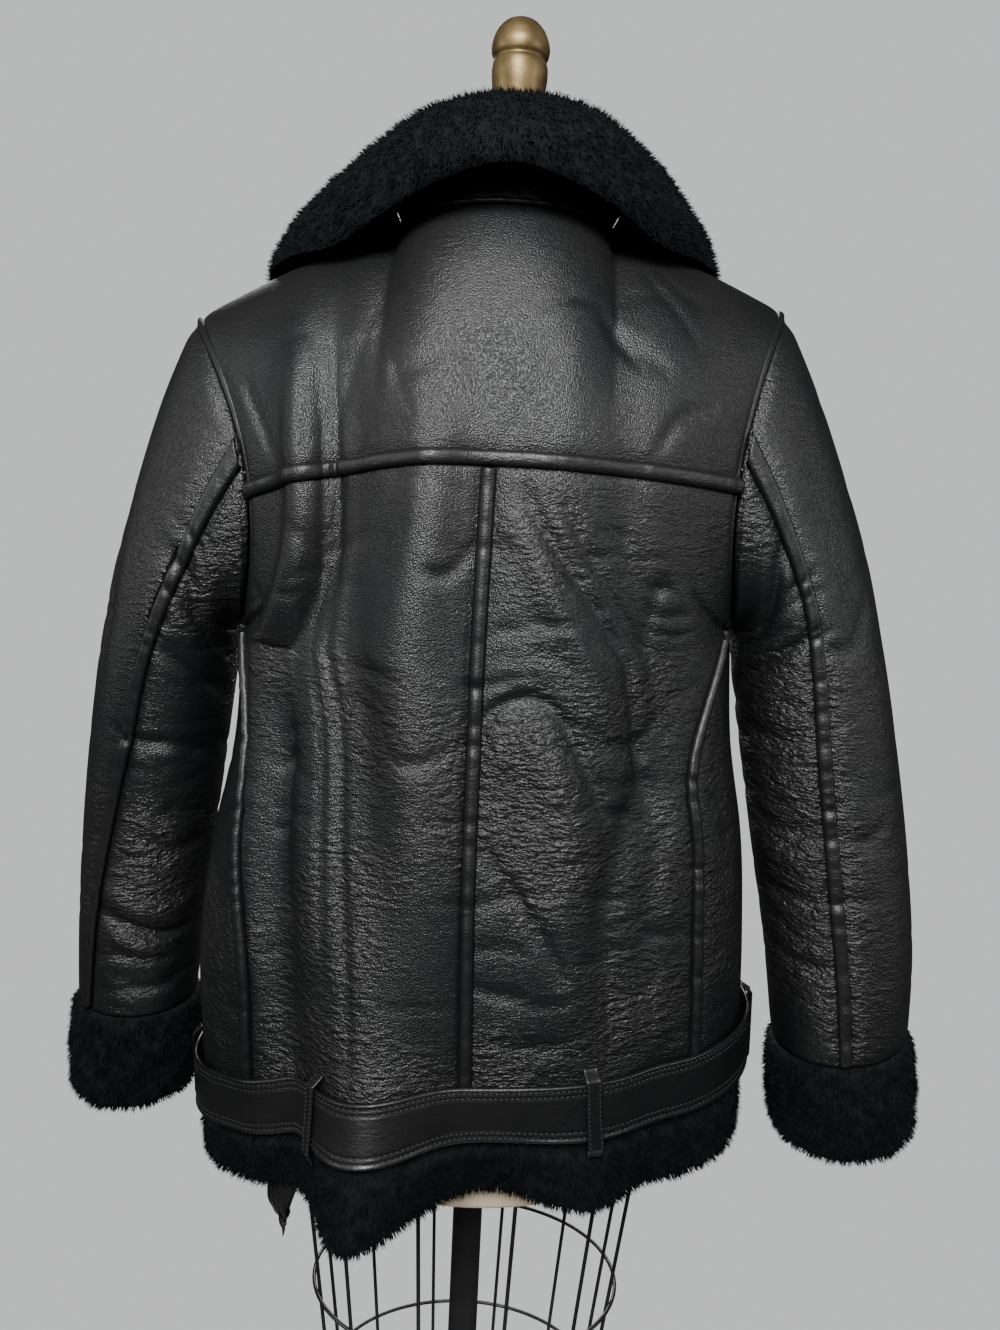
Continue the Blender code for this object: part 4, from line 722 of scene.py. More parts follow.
def put_mesh(name, shape, finish, body=JACKET):
    mesh = bpy.data.meshes.new(name)
    shape.to_mesh(mesh)
    shape.free()
    mesh.materials.append(finish)
    mesh.shade_smooth()
    piece = link(bpy.data.objects.new(name, mesh))
    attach(piece, body)
    return piece


def grid_arrays(shape):
    co = np.array([vert.co[:2] for vert in shape.verts]) + 0.5
    return co[:, 0], co[:, 1]


def tangents(surface, u, v, ring=False, step=0.002):
    """Steps across and along a surface given by a function of u and v."""
    low, high = (-9, 9) if ring else (0, 1)
    return (surface(np.clip(u + step, low, high), v) - surface(np.clip(u - step, low, high), v),
            surface(u, np.clip(v + step, 0, 1)) - surface(u, np.clip(v - step, 0, 1)))


def normals(surface, u, v, ring=False):
    return unit(np.cross(*tangents(surface, u, v, ring)))


def cut_size(surface, across, along):
    """Width, length and area of the flat piece that the surface was cut from."""
    v, u = np.meshgrid(np.linspace(0, 1, along + 1), np.linspace(0, 1, across + 1), indexing="ij")
    p = surface(u.ravel(), v.ravel()).reshape(along + 1, across + 1, 3)
    wide = np.linalg.norm(np.diff(p, axis=1), axis=-1).sum(1)
    tall = np.linalg.norm(np.diff(p, axis=0), axis=-1).sum(0)
    cross = np.cross(p[1:, 1:] - p[:-1, :-1], p[1:, :-1] - p[:-1, 1:])
    area = 0.5 * np.linalg.norm(cross, axis=-1).sum()
    return wide, tall, area


def cloth(name, surface, rise, outward, finish, sewn=(0, 0, 0, 0), crinkle=None, wall=WALL, cell=CELL,
          nodes=None, cells=None, inner=None, ring=False,
          nap=None):
    """One cut piece. sewn says how strongly the u=0, u=1, v=0 and v=1 edges roll in.
    inner gives the back face's rise, in place of an even wall; nap is a pile's settings."""
    wide, tall, area = cut_size(surface, 24, 40)
    width, length = float(wide.max()), float(tall.max())
    if area < 0.32 * width * length:
        width, length = float(wide.mean()), float(tall.mean())
    across, along = cells or (max(int(width / cell), 4), max(int(length / cell), 4))
    shape = bmesh.new()
    chart = shape.loops.layers.uv.new("chart")
    bmesh.ops.create_grid(shape, x_segments=across, y_segments=along, size=0.5, calc_uvs=True)
    u, v = grid_arrays(shape)
    p, n = surface(u, v), normals(surface, u, v, ring)
    flip = float(np.mean(np.sum(n * outward(u, v, p), -1))) < 0
    way = -1.0 if flip else 1.0
    mean_wide, mean_tall = float(wide.mean()), float(tall.mean())
    roll = np.zeros_like(u)
    for weight, away in zip(sewn, (u * mean_wide, (1 - u) * mean_wide, v * mean_tall, (1 - v) * mean_tall)):
        roll = np.maximum(roll, weight * np.exp(-((away / SEAM_ROLL_WIDTH) ** 2)))
    p = p + n * way * (rise(u, v) - roll * SEAM_ROLL)[:, None]
    amount = crinkle(u, v) if crinkle else np.full_like(u, 0.5)
    layer, u_layer, v_layer = (shape.verts.layers.float.new(key) for key in ("crinkle", "across", "along"))
    for vert, place, share, at_u, at_v in zip(shape.verts, p, amount, u, v):
        vert.co, vert[layer], vert[u_layer], vert[v_layer] = place, share, at_u, at_v
    for face in shape.faces:
        for loop in face.loops:
            loop[chart].uv = (loop[chart].uv[0] * mean_wide, loop[chart].uv[1] * mean_tall)
    if ring:
        bmesh.ops.remove_doubles(shape, verts=shape.verts, dist=0.00001)
    if flip:
        bmesh.ops.reverse_faces(shape, faces=shape.faces)
    if inner:
        grown = bmesh.ops.extrude_face_region(shape, geom=shape.faces[:], use_keep_orig=True)["geom"]
        back = [item for item in grown if isinstance(item, bmesh.types.BMVert)]
        u = np.array([vert[u_layer] for vert in back])
        v = np.array([vert[v_layer] for vert in back])
        places = surface(u, v) + normals(surface, u, v, ring) * way * inner(u, v)[:, None]
        for vert, place in zip(back, places):
            vert.co = place
        bmesh.ops.recalc_face_normals(shape, faces=shape.faces)
        if shape.calc_volume(signed=True) < 0:
            bmesh.ops.reverse_faces(shape, faces=shape.faces)
    piece = put_mesh(name, shape, finish)
    if not inner:
        thick = piece.modifiers.new("wall", "SOLIDIFY")
        thick.thickness, thick.offset = wall, -1.0
    if nodes is None:
        nodes = (name.replace("_cloth", ""),)
    if nodes:
        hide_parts(*nodes)
    piles = [pile(name + "_pile_%d" % number, surface, rise, way, ring, *one)
             for number, one in enumerate(nap or ())]
    print(name, "cut %.3f x %.3f m, %.4f m2, %d cells" % (width, length, area, len(piece.data.polygons)))
    return piece


# %% Small shapes repeated
def small_shape(shape):
    """A small shape's places and triangles as arrays, ready to be repeated."""
    bmesh.ops.remove_doubles(shape, verts=shape.verts, dist=0.0001)
    bmesh.ops.recalc_face_normals(shape, faces=shape.faces)
    bmesh.ops.triangulate(shape, faces=shape.faces)
    shape.verts.index_update()
    co = np.array([vert.co[:] for vert in shape.verts])
    faces = np.array([[vert.index for vert in face.verts] for face in shape.faces])
    shape.free()
    return co, faces


def repeated(name, pattern, places, axes, finish):
    """One mesh of many copies; axes holds each copy's x, y and z axes with their lengths."""
    co, faces = pattern
    every = places[:, None, :] + np.einsum("vk,nkx->nvx", co, axes)
    corners = faces[None] + (np.arange(len(places)) * len(co))[:, None, None]
    mesh = bpy.data.meshes.new(name)
    mesh.from_pydata(every.reshape(-1, 3).tolist(), [], corners.reshape(-1, 3).tolist())
    mesh.materials.append(finish)
    mesh.shade_smooth()
    piece = link(bpy.data.objects.new(name, mesh))
    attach(piece, JACKET)
    print(name, len(places), "copies of", len(faces), "triangles")
    return piece


spike = bmesh.new()
bmesh.ops.create_cone(spike, cap_ends=True, segments=3, radius1=1.0, radius2=0.0, depth=1.0,
                      matrix=Matrix.Translation((0, 0, 0.5)))
SPIKE = small_shape(spike)
knot = bmesh.new()
bmesh.ops.create_icosphere(knot, subdivisions=1, radius=1.0)
STITCH = small_shape(knot)
PILE_SPREAD, PILE_THICK, PILE_ROOT = 0.22, (0.00038, 0.00060), 0.0008


def pile(name, surface, rise, way, ring, count, seed, length, lean, patch=(0, 1, 0, 1), facing=1.0):
    """Fine tapered spikes standing on a surface, leaning across and along it by lean."""
    random = np.random.default_rng(seed)
    u, v = random.uniform(*patch[:2], count * 3), random.uniform(*patch[2:], count * 3)
    across, along = tangents(surface, u, v, ring)
    room = np.linalg.norm(np.cross(across, along), axis=-1)
    kept = np.flatnonzero(random.uniform(0, 1, len(u)) < room / np.quantile(room, 0.98))[:count]
    u, v, across, along = u[kept], v[kept], across[kept], along[kept]
    out = unit(np.cross(across, along)) * way * facing
    leaning = out + unit(across) * lean[0] + unit(along) * lean[1]
    lift = unit(leaning + random.normal(0, PILE_SPREAD, out.shape))
    side_way = unit(np.cross(lift, random.normal(0, 1, out.shape)))
    thick = random.uniform(*PILE_THICK, len(kept))[:, None]
    tall = (length * random.uniform(0.6, 1.2, len(kept)))[:, None]
    axes = np.stack([side_way * thick, np.cross(lift, side_way) * thick, lift * tall], 1)
    root = surface(u, v) + out * (rise(u, v) * facing - PILE_ROOT)[:, None]
    return repeated(name, SPIKE, root, axes, FUR)


def stitches(name, surface, rise, outward, lines, pitch):
    """Stitches along lines on a surface: each line gives u and v for shares of its length."""
    places, axes = [], []
    for line in lines:
        s = np.linspace(0, 1, 1500)
        run = np.cumsum(np.linalg.norm(np.diff(surface(*line(s)), axis=0), axis=-1))
        at = np.interp(np.arange(pitch / 2, run[-1], pitch), np.concatenate([[0], run]), s)
        u, v = line(at)
        p, out = surface(u, v), normals(surface, u, v)
        out = out * (1 if np.mean(np.sum(out * outward(u, v, p), -1)) > 0 else -1)
        along = unit(surface(*line(np.clip(at + 0.0005, 0, 1))) - surface(*line(np.clip(at - 0.0005, 0, 1))))
        places.append(p + out * rise(u, v)[:, None])
        axes.append(np.stack([along * pitch * 0.42, np.cross(out, along) * 0.00040, out * 0.00036], 1))
    return repeated(name, STITCH, np.concatenate(places), np.concatenate(axes), THREAD)


def from_spine(u, v, p):
    """Outwards from the body's middle line."""
    return p * (1, 1, 0) - (0.007, 0, 0)


# %% [markdown]
# ## Yoke, back, sides and fronts
# The back is cut as a yoke over two halves, with narrow side panels that wrap
# round to the front. The same seam lines as the solids have divide them.

# %% Body panels
SEAM_LEVELS = (0.0, 0.20, 0.36, 0.58, 0.70, 0.80)
BACK_SEAM = {1: Smooth(SEAM_LEVELS, (0.520, 0.520, 0.575, 0.700, 0.850, 1.000)),
             -1: Smooth(SEAM_LEVELS, (0.555, 0.555, 0.560, 0.607, 0.780, 1.000))}
FRONT_SEAM = Smooth(SEAM_LEVELS, (0.600, 0.605, 0.630, 0.700, 0.850, 1.000))
EDGE_INSET = 0.0006
ZIP_COLUMN = 0.020


def front_edge(level):
    """Column of the fronts' free edge: the zip, then the line of the lapel."""
    return mix(ZIP_COLUMN, NECK_COLUMN + 0.01, np.maximum(level - BREAK_LEVEL, 0.0) / (2.0 - BREAK_LEVEL))


def body_cloth(name, place, sewn, cell=CELL):
    """place(u, v) gives column, level and whether it is the front."""
    return cloth(name, lambda u, v: body_points(*place(u, v)), lambda u, v: body_relief(*place(u, v)),
                 from_spine, LEATHER, sewn, lambda u, v: body_crinkle(*place(u, v)),
                 cell=cell)


def yoke_place(u, v):
    return mix(-1, 1, u), mix(1 + EDGE_INSET, 2 - 0.0012, v), np.zeros(u.shape, bool)


body_cloth("back_yoke_cloth", yoke_place, (1, 1, 0.6, 0.3))
for side, side_name in SIDE_NAMES.items():
    def back_place(u, v):
        level = mix(EDGE_INSET, 1 - EDGE_INSET, v)
        stop = np.where(level < SIDE_SEAM_TOP, BACK_SEAM[side](level) - EDGE_INSET, 1.0)
        return side * mix(EDGE_INSET, stop, u), level, np.zeros(u.shape, bool)

    def side_place(u, v):
        around = mix(-1, 1, u)
        level = mix(EDGE_INSET, SIDE_SEAM_TOP, v)
        seam = np.where(around < 0, FRONT_SEAM(level), BACK_SEAM[side](level))
        column = 1 - np.abs(around) * (1 - np.minimum(seam + EDGE_INSET, 1.0))
        top = mix(UNDERARM_LEVEL, SIDE_SEAM_TOP - 0.004, np.abs(around))
        return side * column, level * top / SIDE_SEAM_TOP, around < 0

    def front_place(u, v):
        level = mix(EDGE_INSET, 2.0 - 0.0012, v)
        stop = np.where(level < SIDE_SEAM_TOP, FRONT_SEAM(level) - EDGE_INSET, 1.0)
        return side * mix(front_edge(level), stop, u), level, np.ones(u.shape, bool)

    body_cloth("back_%s_cloth" % side_name, back_place, (0.8, 0.8, 0, 0.6))
    body_cloth("side_%s_cloth" % side_name, side_place, (0.8, 0.8, 0, 0))
    body_cloth("front_%s_cloth" % side_name, front_place, (0.2, 0.8, 0, 0.3), FRONT_CELL)

# %% [markdown]
# ## Seam welts
# A raised strip covers each main seam. It is a soft roll, pulled down hard where
# it is stitched at both edges, with the pucker that the stitches leave.

# %% Raised strips
WELT_RISE, WELT_FLOAT, WELT_WALL, WELT_CRINKLE = 0.0032, 0.0004, 0.0010, 0.6


def strip(name, surface, rise_at, outward, seed, length):
    """A narrow roll along a seam; surface(u, v) has u across it and v along it."""
    random = np.random.default_rng(seed)
    waves = [(random.uniform(60, 240), random.uniform(0, 6.28), random.uniform(0.3, 1.0)) for _ in range(5)]

    def rise(u, v):
        across = 2 * u - 1
        round_top = np.sqrt(np.maximum(1 - np.abs(across) ** 2.4, 0))
        pucker = sum(size * np.sin(v * length * rate * 2 + phase) for rate, phase, size in waves) / 5
        sunk_edge = 0.0012 * np.abs(across) ** 6
        return rise_at(u, v) + WELT_FLOAT - sunk_edge + WELT_RISE * round_top * (1 + 0.20 * pucker)

    return cloth(name, surface, rise, outward, WELT_LEATHER, crinkle=lambda u, v: WELT_CRINKLE + 0 * u,
                 wall=WELT_WALL, cell=WELT_CELL,
                 nodes=(name.replace("_roll", ""),))


YOKE_WELT_HALF = 0.0056
SEAM_WELT_HALF = 0.0053


def yoke_welt_place(u, v):
    offset = (u - 0.5) * 2 * YOKE_WELT_HALF
    level = 1 + np.where(offset > 0, offset / YOKE_HEIGHT, offset / BACK_HEIGHT)
    return mix(-0.998, 0.998, v), level, np.zeros(u.shape, bool)


strip("yoke_welt_roll", lambda u, v: body_points(*yoke_welt_place(u, v)),
      lambda u, v: body_relief(*yoke_welt_place(0 * u + 0.5, v)), from_spine, 31, 0.45)


def seam_strip(name, column_at, levels, seed):
    def place(u, v):
        level = mix(levels[0], levels[1], v)
        column = column_at(level)
        ends = body_points(column + 0.01, level, False) - body_points(column - 0.01, level, False)
        per_column = np.linalg.norm(ends, axis=-1) / 0.02
        return column + (u - 0.5) * 2 * SEAM_WELT_HALF / per_column, level, np.zeros(u.shape, bool)

    def middle_relief(u, v):
        level = mix(levels[0], levels[1], v)
        return body_relief(column_at(level), level, np.zeros(u.shape, bool))

    strip(name, lambda u, v: body_points(*place(u, v)), middle_relief, from_spine, seed, 0.44)


seam_strip("centre_back_welt_roll", lambda level: 0 * level, (0.004, 0.985), 32)
for side, side_name in SIDE_NAMES.items():
    seam_strip("side_welt_%s_roll" % side_name, lambda level: side * BACK_SEAM[side](level), (0.004, 0.75),
               33 + side)

# %% [markdown]
# ## Sleeves
# Each sleeve is an upper and an under piece. The elbow's creases bite deepest on
# the under piece, and the inner half is crowded with short level wrinkles.

# %% Sleeve pieces
SLEEVE_CREASES = {   # height mm, width mm, then angle in degrees and share of the length of each point
    1: ((-3.4, 5, (66, 0.80), (88, 0.815), (112, 0.83), (140, 0.84), (168, 0.83)),
        (2.6, 8, (74, 0.76), (104, 0.785), (140, 0.79), (170, 0.77)),
        (2.2, 6, (84, 0.845), (118, 0.862), (152, 0.86)),
        (-2.4, 5, (80, 0.875), (112, 0.885), (150, 0.89)),
        (-1.8, 5, (90, 0.93), (125, 0.945), (160, 0.93)),
        (-2.2, 6, (96, 0.66), (130, 0.68), (165, 0.66)),
        (-2.0, 6, (92, 0.50), (128, 0.49), (168, 0.52)),
        (-2.4, 7, (100, 0.33), (135, 0.36), (172, 0.41)),
        (-2.4, 8, (92, 0.16), (120, 0.22), (160, 0.30)),
        (-1.4, 8, (20, 0.18), (40, 0.30), (44, 0.44)),
        (-2.0, 7, (200, 0.60), (250, 0.62), (290, 0.58)),
        (-2.2, 7, (190, 0.76), (240, 0.79), (285, 0.77)),
        (-1.8, 8, (-40, 0.40), (-10, 0.46), (20, 0.45))),
    -1: ((-2.6, 7, (96, 0.13), (122, 0.19), (160, 0.28)),
         (-2.4, 6, (104, 0.28), (134, 0.31), (170, 0.36)),
         (-2.2, 6, (108, 0.44), (138, 0.45), (172, 0.42)),
         (-2.6, 6, (104, 0.58), (134, 0.60), (168, 0.58)),
         (2.0, 8, (110, 0.63), (136, 0.645), (164, 0.63)),
         (-2.4, 6, (106, 0.70), (132, 0.715), (166, 0.70)),
         (-2.0, 6, (104, 0.82), (134, 0.83), (168, 0.81)),
         (-1.6, 6, (60, 0.60), (80, 0.62), (98, 0.60)),
         (-1.6, 7, (50, 0.28), (72, 0.33), (92, 0.32)),
         (-2.0, 7, (200, 0.58), (250, 0.60), (290, 0.57)),
         (-2.2, 7, (190, 0.74), (240, 0.77), (285, 0.75)),
         (-1.6, 8, (-40, 0.44), (-10, 0.50), (20, 0.49))),
}


def sleeve_chart(angle_degrees, share):
    return np.radians(angle_degrees) * SLEEVE_RADIUS, np.asarray(share) * SLEEVE_LENGTH


SLEEVE_WRINKLES = {
    side: (scatter(41 + side, 64, (0.088, 0.172), (0.05, 0.46), (0.020, 0.055), (0.0006, 0.0016),
                   (0.0026, 0.0042), 0.18)
           + scatter(44 + side, 30, (0.172, 0.30), (0.05, 0.46), (0.020, 0.060), (0.0005, 0.0013),
                     (0.0030, 0.0046), 0.2)
           + scatter(47 + side, 34, (-0.08, 0.088), (0.05, 0.46), (0.020, 0.060), (0.0003, 0.0008),
                     (0.0030, 0.0050), 0.3))
    for side in SIDE_NAMES}


def sleeve_relief(side, angle, share):
    x, z = sleeve_chart(np.degrees(angle), share)
    rise = total_relief(x, z, SLEEVE_CREASES[side], SLEEVE_WRINKLES[side], sleeve_chart)
    return rise * ramp(0.0, 0.05, share)


def sleeve_cloth(name, side, angle_low, angle_high, sewn):
    def angle_at(u, v):
        return mix(angle_low(v), angle_high(v), u), mix(0.0022, 0.9994, v)

    def outward(u, v, p):
        return p - sleeve_middle(side, angle_at(u, v)[1])

    def crinkle(u, v):
        angle, share = angle_at(u, v)
        inner = ramp(math.radians(70), math.radians(110), angle)
        return np.clip(0.30 + 0.70 * inner, 0, 1)

    cloth(name, lambda u, v: sleeve_points(side, *angle_at(u, v)),
          lambda u, v: sleeve_relief(side, *angle_at(u, v)), outward, LEATHER, sewn, crinkle)


for side, side_name in SIDE_NAMES.items():
    seam_step = math.radians(0.25)
    sleeve_cloth("upper_sleeve_%s_cloth" % side_name, side, lambda v: FRONT_SEAM_ANGLE + seam_step + 0 * v,
                 lambda v: back_seam_angle(side, v) - seam_step, (0.8, 1, 1, 0.4))
    sleeve_cloth("under_sleeve_%s_cloth" % side_name, side, lambda v: back_seam_angle(side, v) + seam_step,
                 lambda v: FRONT_SEAM_ANGLE + math.tau - seam_step + 0 * v, (1, 0.8, 1, 0.4))

    def sleeve_welt_place(u, v):
        return back_seam_angle(side, v) + (u - 0.5) * 2 * SEAM_WELT_HALF / SLEEVE_RADIUS, mix(0.004, 0.992, v)

    strip("sleeve_welt_%s_roll" % side_name, lambda u, v: sleeve_points(side, *sleeve_welt_place(u, v)),
          lambda u, v: sleeve_relief(side, *sleeve_welt_place(0 * u + 0.5, v)),
          lambda u, v, p: p - sleeve_middle(side, sleeve_welt_place(u, v)[1]),
          36 + side, 0.47)

# %% [markdown]
# ## Collar
# The collar is fur side out: a backing shell with a pile of fine spikes on it,
# which break up its edge. It falls from a roll line over a low leather stand. One
# curve runs right round, so the loose edge makes an even arch across the back.

# %% Collar rows
FUR_DEPTH = 0.011
PILE_ROOM = 0.0028        # the backing lies this far inside the tips
COLLAR_ROWS = (   # station from the centre back, roll line x, y, z, loose edge x, y, z, lift between them
    (-5.0, -0.0660, -0.092, 1.4140, -0.1520, -0.086, 1.3820, 0.012),
    (-4.0, -0.0820, -0.048, 1.4580, -0.1600, -0.034, 1.4420, 0.014),
    (-3.0, -0.0860, -0.010, 1.4930, -0.1380, 0.018, 1.4480, 0.018),
    (-2.0, -0.0730, 0.026, 1.5130, -0.1020, 0.058, 1.4480, 0.018),
    (-1.0, -0.0420, 0.052, 1.5280, -0.0560, 0.088, 1.4680, 0.012),
    (0.0, 0.0040, 0.060, 1.5320, 0.0020, 0.106, 1.4800, 0.008),
    (1.0, 0.0480, 0.052, 1.5250, 0.0610, 0.088, 1.4660, 0.012),
    (2.0, 0.0800, 0.026, 1.5080, 0.1180, 0.056, 1.4400, 0.018),
    (3.0, 0.0920, -0.010, 1.4880, 0.1640, 0.016, 1.4370, 0.020),
    (4.0, 0.0880, -0.048, 1.4540, 0.1860, -0.036, 1.4270, 0.016),
    (5.0, 0.0730, -0.092, 1.4100, 0.1680, -0.086, 1.3700, 0.012),
)
STATIONS = [row[0] for row in COLLAR_ROWS]
ROLL_LINE = Smooth(STATIONS, [row[1:4] for row in COLLAR_ROWS])
EDGE_LINE = Smooth(STATIONS, [row[4:7] for row in COLLAR_ROWS])
LIFT_LINE = Smooth(STATIONS, [row[7] for row in COLLAR_ROWS])


def fall_points(u, v):
    around = mix(-5.0, 5.0, u)
    roll, edge, a = ROLL_LINE(around), EDGE_LINE(around), v[..., None]
    way = unit(points(0.06 * around, 0.6 * (1 - np.abs(around) / 2.5), 0.8))
    crown = (roll + edge) / 2 + way * (LIFT_LINE(around) * 2)[..., None]
    return roll * (1 - a) ** 2 + crown * 2 * a * (1 - a) + edge * a**2


def fall_rise(u, v):
    depth = FUR_DEPTH * (0.30 + 0.70 * np.sqrt(np.maximum(1 - ramp(0.72, 1.0, v) ** 2, 0)))
    turned = np.sqrt(np.maximum(1 - (1 - np.minimum(v / 0.10, 1)) ** 2, 0))
    lumps = 0.0009 * np.sin(31 * u + 3 * v) * np.sin(17 * v + 9 * u)
    return np.maximum((depth - PILE_ROOM) * (0.35 + 0.65 * turned) + lumps, 0.0012)


cloth("collar_fall_cloth", fall_points, fall_rise, lambda u, v, p: p - (0.004, -0.01, 1.38), FUR,
      inner=lambda u, v: 0.0003 + 0 * u, cell=FUR_CELL,
      nap=((16200, 71, 0.0056, (0.0, 0.75)), (900, 72, 0.0045, (0.0, -0.5), (0, 1, 0, 0.03))))

# %% [markdown]
# The stand below it is leather outside and fur inside. Its skin is pulled into
# slanting creases, and a rolled seam joins it to the yoke.

# %% Collar stand and neck seam
STAND_SPAN = 3.0          # the stand stops at this station


def neck_foot(around):
    return neck_points(signs(around), math.pi / 2 * np.abs(around), np.zeros(around.shape, bool))


def stand_points(u, v):
    around = mix(-1.0, 1.0, u)
    foot = neck_foot(around) + (0, 0, 0.0005)
    top = ROLL_LINE(STAND_SPAN * around) - (0, 0, 0.0008)
    inward = unit(points(NECK_MIDDLE, NECK_Y, 0.0) - foot * (1, 1, 0))
    return mix(foot, top, v[..., None]) + inward * (0.002 * np.sin(math.pi * v))[..., None]


STAND_CREASES = (   # height mm, width mm, then share round and share up of each point
    (-1.6, 4, (0.30, 0.15), (0.34, 0.45), (0.36, 0.80)), (-1.3, 3, (0.38, 0.10), (0.41, 0.50)),
    (1.2, 4, (0.42, 0.20), (0.45, 0.60), (0.46, 0.90)), (-1.5, 3, (0.47, 0.12), (0.49, 0.55), (0.48, 0.85)),
    (-1.2, 3, (0.53, 0.10), (0.56, 0.40)), (1.1, 4, (0.57, 0.25), (0.60, 0.65)),
    (-1.7, 4, (0.62, 0.12), (0.65, 0.50), (0.70, 0.85)), (-1.1, 3, (0.70, 0.15), (0.73, 0.55)),
    (-1.3, 3, (0.24, 0.20), (0.27, 0.60)), (-0.9, 3, (0.44, 0.35), (0.52, 0.40), (0.58, 0.36)),
)
STAND_LENGTH, STAND_HEIGHT, STAND_CRINKLE = 0.24, 0.062, 0.55


def stand_chart(share_round, share_up):
    return np.asarray(share_round) * STAND_LENGTH, np.asarray(share_up) * STAND_HEIGHT


def stand_rise(u, v):
    return total_relief(*stand_chart(u, v), STAND_CREASES, (), stand_chart)


cloth("collar_stand_cloth", stand_points, stand_rise,
      lambda u, v, p: (p - (NECK_MIDDLE, NECK_Y - 0.02, 0)) * (1, 1, 0), LEATHER,
      crinkle=lambda u, v: STAND_CRINKLE + 0 * u, cell=STAND_CELL,
      nap=((3000, 73, 0.0055, (0.0, 0.2), (0, 1, 0.05, 1), -1.0),))


def round_bar(name, path, radius, finish, nodes=(), closed=False, resolution=4):
    """A round bar or roll along points, as a curve with a round section."""
    line = bpy.data.curves.new(name, "CURVE")
    line.dimensions = "3D"
    spline = line.splines.new("POLY")
    spline.points.add(len(path) - 1)
    for point, place in zip(spline.points, path):
        point.co = (*place, 1.0)
    spline.use_cyclic_u, spline.use_smooth = closed, True
    line.bevel_depth, line.bevel_resolution, line.use_fill_caps = radius, resolution, True
    line.materials.append(finish)
    piece = link(bpy.data.objects.new(name, line))
    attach(piece, JACKET)
    if nodes:
        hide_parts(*nodes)
    return piece


ARMHOLE_ROLL, ARMHOLE_SINK = 0.0030, 0.0048
for side, side_name in SIDE_NAMES.items():
    def facing_points(u, v):
        level = mix(1.99, 1.42, u)
        foot = body_points(side * front_edge(level), level, np.ones(u.shape, bool))
        return mix(foot, ROLL_LINE(side * mix(STAND_SPAN - 0.02, 4.7, u)) - (0, 0, 0.001), v[..., None])

    cloth("collar_facing_%s_cloth" % side_name, facing_points, lambda u, v: 0 * u,
          lambda u, v, p: np.array((float(side), 0, 0)) + 0 * p, LEATHER, wall=0.0020, cell=FUR_CELL,
          nodes=())
    hole_turn = np.linspace(0, math.tau, 160, endpoint=False)
    hole = armhole(float(side), hole_turn)
    hole = hole - unit(hole - points(side * 0.10, 0.0, hole[:, 2])) * ARMHOLE_SINK
    round_bar("armhole_seam_%s_roll" % side_name, hole, ARMHOLE_ROLL, WELT_LEATHER,
              closed=True)

NECK_ROLL = 0.0022
round_ends = np.linspace(-1, 1, 90)
neck_line = neck_foot(round_ends)
outwards = unit(neck_line * (1, 1, 0) - (NECK_MIDDLE, NECK_Y, 0))
wobble = (0.0004 * np.sin(round_ends * 47) + 0.0003 * np.sin(round_ends * 83))[:, None]
round_bar("neck_seam_roll", neck_line + outwards * (0.0002 + wobble) + (0, 0, 0.0004),
          NECK_ROLL, WELT_LEATHER)

# %% Lapels
LAPEL_GAP = 0.0018
LAPEL_TOP = (1.555, 1.430)
LAPEL_COLUMNS = (0.02, 0.46)


def lapel_depth(u, v):
    round_edge = np.sqrt(np.maximum(1 - ramp(0.75, 1.0, u) ** 2, 0))
    return FUR_DEPTH * (0.30 + 0.70 * round_edge) * ramp(-0.25, 0.2, v)


for side, side_name in SIDE_NAMES.items():
    def lapel_points(u, v):
        level = mix(BREAK_LEVEL + 0.01, mix(*LAPEL_TOP, u), v)
        column = front_edge(level) + mix(*LAPEL_COLUMNS, v**0.8) * u
        return body_points(side * column, level, np.ones(u.shape, bool))

    cloth("lapel_%s_cloth" % side_name, lapel_points,
          lambda u, v: LAPEL_GAP + np.maximum(lapel_depth(u, v) - PILE_ROOM, 0.001), from_spine, FUR,
          inner=lambda u, v: LAPEL_GAP + 0 * u, cell=FUR_CELL,
          nap=((4200, 74 + side, 0.0058, (0.5, -0.4)),))

# %% [markdown]
# ## Cuffs and hem
# Both are the same fur, turned out: deep rounded bands that stand a little proud
# of the leather above them, with the pile combed downwards.

# %% Cuffs
for side, side_name in SIDE_NAMES.items():
    cuff_reach = CUFF_HEIGHT[side] / float(np.linalg.norm(SLEEVE_DROP[side]))

    def cuff_points(u, v):
        return sleeve_points(side, math.tau * u, mix(1.0 + 0.0006 / SLEEVE_LENGTH, 1.0 + cuff_reach, v))

    def cuff_round(v):
        return np.sqrt(np.maximum(1 - np.abs(2 * v - 1) ** 3.2, 0))

    def cuff_lumps(u, v):
        return 0.0012 * np.sin(5 * math.tau * u + 5 * v) * np.sin(3 * math.tau * u + 7 * v)

    cloth("cuff_%s_cloth" % side_name, cuff_points,
          lambda u, v: CUFF_PROUD * (0.25 + 0.75 * cuff_round(v)) - PILE_ROOM + cuff_lumps(u, v),
          lambda u, v, p: p - sleeve_middle(side, np.full(u.shape, 1.0) + cuff_reach * v), FUR,
          inner=lambda u, v: -0.004 - 0.005 * cuff_round(v), ring=True, cell=FUR_CELL,
          nap=((6300, 78 + side, 0.0062, (0.0, 0.85)),
               (540, 82 + side, 0.0050, (0.0, 0.9), (0, 1, 0.985, 1))))

# %% Hem
HEM_BANDS = (   # name, start and stop round the body, spikes in the pile and at its tip, seed
    ("hem_back", -0.56, 0.52, 7500, 833, 95),
    ("hem_left", 0.5215, 1.982, 4800, 533, 96),
    ("hem_right", -1.982, -0.5615, 4800, 533, 96),
)
TIP_SEED = 95


def hem_round(v):
    return np.sqrt(np.maximum(1 - (1 - np.minimum(v / 0.45, 1)) ** 2.6, 0))


